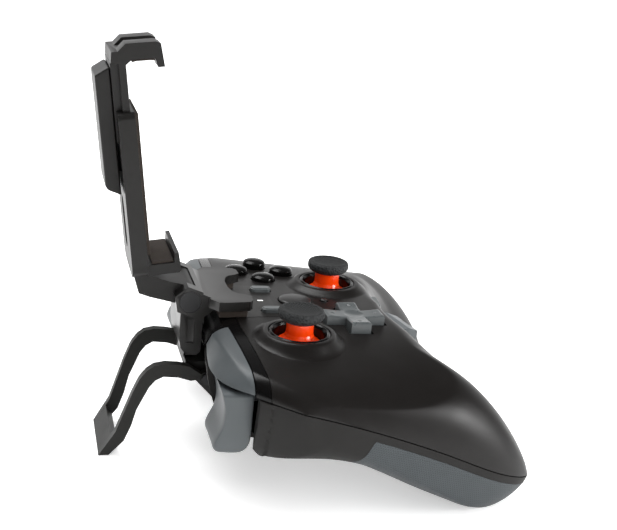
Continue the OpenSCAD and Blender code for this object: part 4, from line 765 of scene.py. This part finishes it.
# Surface of revolution: an outline of radius and height turned about an upright axis, closed at both ends
def lathe(name, spot, outline, sides=128):
    a = 2 * np.pi * np.arange(sides) / sides
    body = [(r, z) for r, z in outline if r > 1e-6]
    rings = [np.stack([spot[0] + r * np.cos(a), spot[1] + r * np.sin(a), a * 0 + z], -1) for r, z in body]
    points = np.concatenate(rings + [[[*spot, outline[0][1]]], [[*spot, outline[-1][1]]]])
    n = len(body)
    faces = ringFaces(n, sides)
    faces += [(n * sides, (i + 1) % sides, i) for i in range(sides)]
    faces += [(n * sides + 1, (n - 1) * sides + i, (n - 1) * sides + (i + 1) % sides) for i in range(sides)]
    return makeObject(name, points, outward(points, faces))


bodyOf = {n: body for body, held in frame["record"]["behaviour"]["bodies"].items() for n in held}
slotOf = {row["node"]: row["material_slot"] for row in frame["record"]["subparts"]}
# Width of the rounded edges of each node that keeps its CAD shape, in millimetres
finish = {"charge_port_frame": 0.3, "clamp_bracket": 0.3, "clamp_pad": 0.15, "lower_hook": 0.4,
          "holder_back": 0.4, "back_pad": 0.2, "upper_jaw": 0.35, "upper_jaw_pad": 0.1,
          "lower_jaw_pad": 0.1, "slider_cover": 0.8, "kickstand": 0.35, "start_button": 0.2,
          "select_button": 0.2, "pairing_bar": 0.25}
# Nodes whose finish differs from their slot's
special = {"clamp_bracket": "bracket_plastic", "kickstand_pins": "dark_steel", "hinge_pin": "dark_steel",
           "home_button": "dark_key", "mode_button": "dark_key"}

# Thumb cap: its outline from the middle of its underside round the rim to the middle of its dish, as shares
# of its radius and its thickness
capShares = [(0, -1), (0.68, -1), (0.84, -0.89), (0.965, -0.67), (1, -0.52), (1, -0.26), (0.97, -0.1),
             (0.895, 0), (0.8, 0), (0.73, -0.075), (0.47, -0.2), (0, -0.26)]
capLine = [(max(0.0, r) * capR, ringZ + capRise + z * capT) for r, z in through(capShares, 72)]
capLine[0], capLine[-1] = (0.0, capLine[0][1]), (0.0, capLine[-1][1])
for spot, side in ((leftStick, "left"), (rightStick, "right")):
    node = side + "_stick_cap"
    place(lathe(node + "_skin", spot, capLine), bodyOf[node], node, slot="cap_rubber",
          material=materials["cap_rubber"], angle=60)

# Direction pad: rising arms with broken edges, a dished middle and an arrow pressed into each tip
dpad = {"rise": 2.9, "dishR": 14.0, "dishEdge": 13.0, "dishD": 1.1, "edge": 0.8, "edgeShare": 0.75,
        "arrowAt": 8.6, "arrowL": 1.5, "arrowD": 0.3, "arrowSteep": 6, "arrowTaper": 1.2,
        "arms": [[0, 0.2], [2.8, 0.22], [6.9, 0.45], [10.6, 0.9], [11.5, 0.8]],
        "hubR": 2.9, "hubGap": 0.25}
half, wide, brim = dpadSpan / 2, dpadArm / 2, dpad["edge"]
# Grid lines crowd at every edge of the cross
near = brim * (1 - np.cos(np.pi / 2 * np.arange(6) / 5))
lines = np.concatenate([near - half, np.linspace(brim - half, -wide - brim, 20), -wide - near, near - wide,
                        np.linspace(brim - wide, 0, 14)])
lines = np.unique(np.round(lines, 4))
lines = np.unique(np.concatenate([lines, -lines]))
gx, gy = np.meshgrid(lines, lines, indexing="ij")
along, aside = np.maximum(np.abs(gx), np.abs(gy)), np.minimum(np.abs(gx), np.abs(gy))
# Height: a table along the arm, or a ball's surface where that is lower; less a quarter round by the
# distance to the nearest edge, and less the arrow, a ramp up to its depth from its rim
ball = dpad["dishR"] ** 2 - np.minimum(dpad["dishEdge"] ** 2, gx ** 2 + gy ** 2)
bowl = deckH + dpad["rise"] - dpad["dishD"] + dpad["dishR"] - np.sqrt(ball)
top = np.minimum(deckH + dpad["rise"] - brim + smooth(dpad["arms"], along), bowl)
rimGap = np.minimum(half - along, np.where(along > wide, wide - aside, np.hypot(wide - along, wide - aside)))
rimGap = np.clip(rimGap, 0, brim)
top = top - (brim - np.sqrt(np.maximum(0, brim ** 2 - (brim - rimGap) ** 2))) * dpad["edgeShare"]
u = (along - dpad["arrowAt"]) / dpad["arrowL"] + 0.5
arrow = np.minimum(u, 1 - u - aside / dpad["arrowL"] * dpad["arrowTaper"]) * dpad["arrowSteep"]
top = top - dpad["arrowD"] * np.clip(arrow, 0, 1)
inside = (aside <= wide + 1e-6) & (along <= half + 1e-6)
index = -np.ones(gx.shape, int)
index[inside] = np.arange(inside.sum())
n = int(inside.sum())
upper = np.stack([gx[inside] + dpadAt[0], gy[inside] + dpadAt[1], top[inside]], -1)
lower = upper.copy()
lower[:, 2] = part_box("dpad_cross")[0][2] / mm
cells = [[int(v) for v in (index[i, j], index[i + 1, j], index[i + 1, j + 1], index[i, j + 1])]
         for i in range(len(lines) - 1) for j in range(len(lines) - 1)
         if min(abs(lines[i] + lines[i + 1]), abs(lines[j] + lines[j + 1])) / 2 < wide]
cells = [c for c in cells if min(c) >= 0]
# The side wall stands on the edges that belong to one cell only
edges = [(c[k], c[(k + 1) % 4]) for c in cells for k in range(4)]
held = set(edges)
faces = [tuple(c) for c in cells] + [tuple(n + v for v in c[::-1]) for c in cells] \
    + [(b, a, n + a, n + b) for a, b in edges if (b, a) not in held]
points = np.concatenate([upper, lower])
crossPad = makeObject("dpad_cross_skin", points, outward(points, faces))
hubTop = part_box("dpad_disc")[1][2] / mm + dpad["hubGap"]
carve(crossPad, prism(roundOutline(*dpadAt, dpad["hubR"], 48), 0, hubTop))
place(crossPad, bodyOf["dpad_cross"], "dpad_cross", slot="key_plastic", material=materials["key_plastic"],
      angle=25)

# Panel let into the middle of the deck, a hair proud of it: the deck's height over a four-sided grid that
# widens to the rear, plus proud above and less thick below
panel = {"front": 15.0, "rear": rearReach - bumperD + edge - trimW - 0.3, "halfFront": 17.0,
         "halfRear": 18.6, "proud": 0.07, "thick": 0.4, "steps": 39}
shares = np.linspace(0, 1, panel["steps"] + 1)[:, None]
aside = np.linspace(-1, 1, panel["steps"] + 1)[None, :]
px = aside * blendValues(panel["halfFront"], panel["halfRear"], shares)
py = np.linspace(panel["front"], panel["rear"], panel["steps"] + 1)[:, None] + 0 * aside
pz = deckZ(px, py)
points = np.concatenate([np.stack([px, py, pz + panel["proud"]], -1).reshape(-1, 3),
                         np.stack([px, py, pz - panel["thick"]], -1).reshape(-1, 3)])
inlay = makeObject("deck_panel", points, outward(points, slabFaces(panel["steps"], panel["steps"])))
for outline in oblongCuts:
    carve(inlay, prism(outline, underDeck, high))
place(inlay, "controller", slot="shell_plastic", material=materials["panel_plastic"], angle=30)
print("controls")

for node, width in finish.items():
    rounded(node, bodyOf[node], materials[special.get(node, slotOf[node])], width, slotOf[node])
replacedNodes = set(finish) | {"top_shell", "bottom_shell", "left_grip_pad", "right_grip_pad",
                               "shoulder_trim", "left_bumper", "right_bumper", "left_trigger",
                               "right_trigger", "dpad_cross", "left_stick_cap", "right_stick_cap"}
for node, source in nodes.items():
    if node not in replacedNodes:
        source.data.materials.clear()
        source.data.materials.append(materials[special.get(node, slotOf[node])])
        shadeSmooth(source, 30)
print("finished nodes", len(finish))

# Floor and studio: glow of the paper near and far, lengths in metres
floorShape = {"half": 12000, "drop": 0.0002, "glowFrom": 0.08, "glowTo": 0.38, "near": 0.46, "far": 1.0}
corner = floorShape["half"]
floor = makeObject("floor", [(-corner, -corner, 0), (corner, -corner, 0), (corner, corner, 0),
                             (-corner, corner, 0)], [(0, 1, 2, 3)])
floor.location.z = -floorShape["drop"]
# White paper that glows more with distance, as a lit studio sweep does. Only the camera and reflections see
# the glow, so it adds no light to matt surfaces.
paper, tree, shader = newMaterial("paper_floor")
spot = addNode(tree, "TexCoord", out="Object")
cloud = addNode(tree, "TexNoise", {"Vector": spot, "Scale": 1 / 0.2}, out="Fac")
colour = addNode(tree, "Mix", {"Factor": cloud, 6: linear("#fbfbfb"), 7: linear("#ffffff")}, out=2,
                 data_type="RGBA")
reach = addNode(tree, "VectorMath", spot, out="Value", operation="LENGTH")
glow = addNode(tree, "MapRange", {"Value": reach, "From Min": floorShape["glowFrom"],
                                  "From Max": floorShape["glowTo"], "To Min": floorShape["near"],
                                  "To Max": floorShape["far"]}, interpolation_type="SMOOTHSTEP")
rays = addNode(tree, "LightPath", out=None)
seenFloor = addNode(tree, "Math", rays["Is Camera Ray"], rays["Is Glossy Ray"], operation="MAXIMUM")
feed(tree, shader, {"Base Color": colour, "Roughness": 0.7, "Specular IOR Level": 0.1,
                    "Emission Color": (1, 1, 1, 1),
                    "Emission Strength": addNode(tree, "Math", glow, seenFloor, operation="MULTIPLY")})
floor.data.materials.append(paper)

# Studio round it: dim in front, a bright sweep low behind the far grip, a soft ceiling
studio = {"front": 0.06, "ceiling": 0.06, "sweep": 1.1, "sweepAim": (0.96, -0.27), "sweepSides": (0.15, 0.8),
          "sweepTop": (0.26, 0.5), "ceilingFrom": (0.3, 0.95)}
world = bpy.data.worlds.new("studio")
bpy.context.scene.world = world
world.use_nodes = True
sky = world.node_tree
x, y, z = addNode(sky, "SeparateXYZ", addNode(sky, "TexCoord", out="Generated"), out=None)
aimX = addNode(sky, "Math", x, studio["sweepAim"][0], operation="MULTIPLY")
aimY = addNode(sky, "Math", y, studio["sweepAim"][1], operation="MULTIPLY")
away = addNode(sky, "Math", aimX, aimY, operation="ADD")
ramps = [addNode(sky, "MapRange", {"Value": value, "From Min": studio[key][0], "From Max": studio[key][1]},
                 interpolation_type="SMOOTHSTEP")
         for value, key in ((away, "sweepSides"), (z, "sweepTop"), (z, "ceilingFrom"))]
lowSky = addNode(sky, "Math", 1.0, ramps[1], operation="SUBTRACT")
sweep = addNode(sky, "Math", addNode(sky, "Math", ramps[0], lowSky, operation="MULTIPLY"), studio["sweep"],
                operation="MULTIPLY")
ceiling = addNode(sky, "Math", ramps[2], studio["ceiling"], operation="MULTIPLY")
total = addNode(sky, "Math", addNode(sky, "Math", sweep, ceiling, operation="ADD"), studio["front"],
                operation="ADD")
# The camera itself sees plain white above the floor
seen = addNode(sky, "LightPath", out="Is Camera Ray")
feed(sky, sky.nodes["Background"], {"Color": (1, 1, 1, 1),
                                    "Strength": addNode(sky, "Math", total, seen, operation="MAXIMUM")})

# Softboxes: where each stands and what it aims at in metres, its size, its watts and whether gloss shows it
softboxes = {"key": ((0.4, 0.3, 1.0), (0, 0, 0.05), (0.7, 0.7), 10, True),
             "over": ((-0.3, -0.1, 1.2), (0, 0, 0.05), (1.0, 1.0), 8, False),
             "front": ((-1.1, -0.2, 0.55), (0, 0, 0.03), (1.0, 0.8), 8, False),
             "strip": ((-0.54, -1.02, 0.38), (-0.06, -0.05, 0.03), (0.4, 0.22), 8, True)}
for name, (stand, aim, size, power, glossy) in softboxes.items():
    data = bpy.data.lights.new(name, "AREA")
    data.shape, data.size, data.size_y, data.energy = "RECTANGLE", size[0], size[1], power
    lamp = bpy.data.objects.new(name, data)
    bpy.context.scene.collection.objects.link(lamp)
    lamp.location = stand
    lamp.rotation_euler = (Vector(aim) - Vector(stand)).to_track_quat("-Z", "Y").to_euler()
    lamp.visible_glossy = glossy
print("studio", len(softboxes))

# Camera fitted to the photograph: its place in millimetres, its turn in radians, and its picture size, focal
# length and principal point in pixels
view = {"at": (-397.62, 114.985, 203.537), "yaw": -0.269, "pitch": -0.284, "roll": 0.099, "width": 617,
        "height": 530, "focal": 1093.76, "centre": (300.925, 240.54), "sensor": 36.0}
ahead = Vector((math.cos(view["pitch"]) * math.cos(view["yaw"]),
                math.cos(view["pitch"]) * math.sin(view["yaw"]), math.sin(view["pitch"])))
levelRight = Vector((math.sin(view["yaw"]), -math.cos(view["yaw"]), 0))
levelUp = levelRight.cross(ahead)
right = math.cos(view["roll"]) * levelRight + math.sin(view["roll"]) * levelUp
up = -math.sin(view["roll"]) * levelRight + math.cos(view["roll"]) * levelUp
camData = bpy.data.cameras.new("camera")
camera = bpy.data.objects.new("camera", camData)
bpy.context.scene.collection.objects.link(camera)
camera.matrix_world = Matrix.Translation((Vector(view["at"]) + Vector((0, shiftY, 0))) * mm) \
    @ Matrix((right, up, -ahead)).transposed().to_4x4()
camData.sensor_fit, camData.sensor_width = "HORIZONTAL", view["sensor"]
camData.lens = view["sensor"] * view["focal"] / view["width"]
camData.shift_x = (view["width"] / 2 - view["centre"][0]) / view["width"]
camData.shift_y = (view["centre"][1] - view["height"] / 2) / view["width"]
camData.clip_start, camData.clip_end = 0.01, 60
bpy.context.scene.camera = camera
bpy.context.scene.view_settings.view_transform = "Standard"
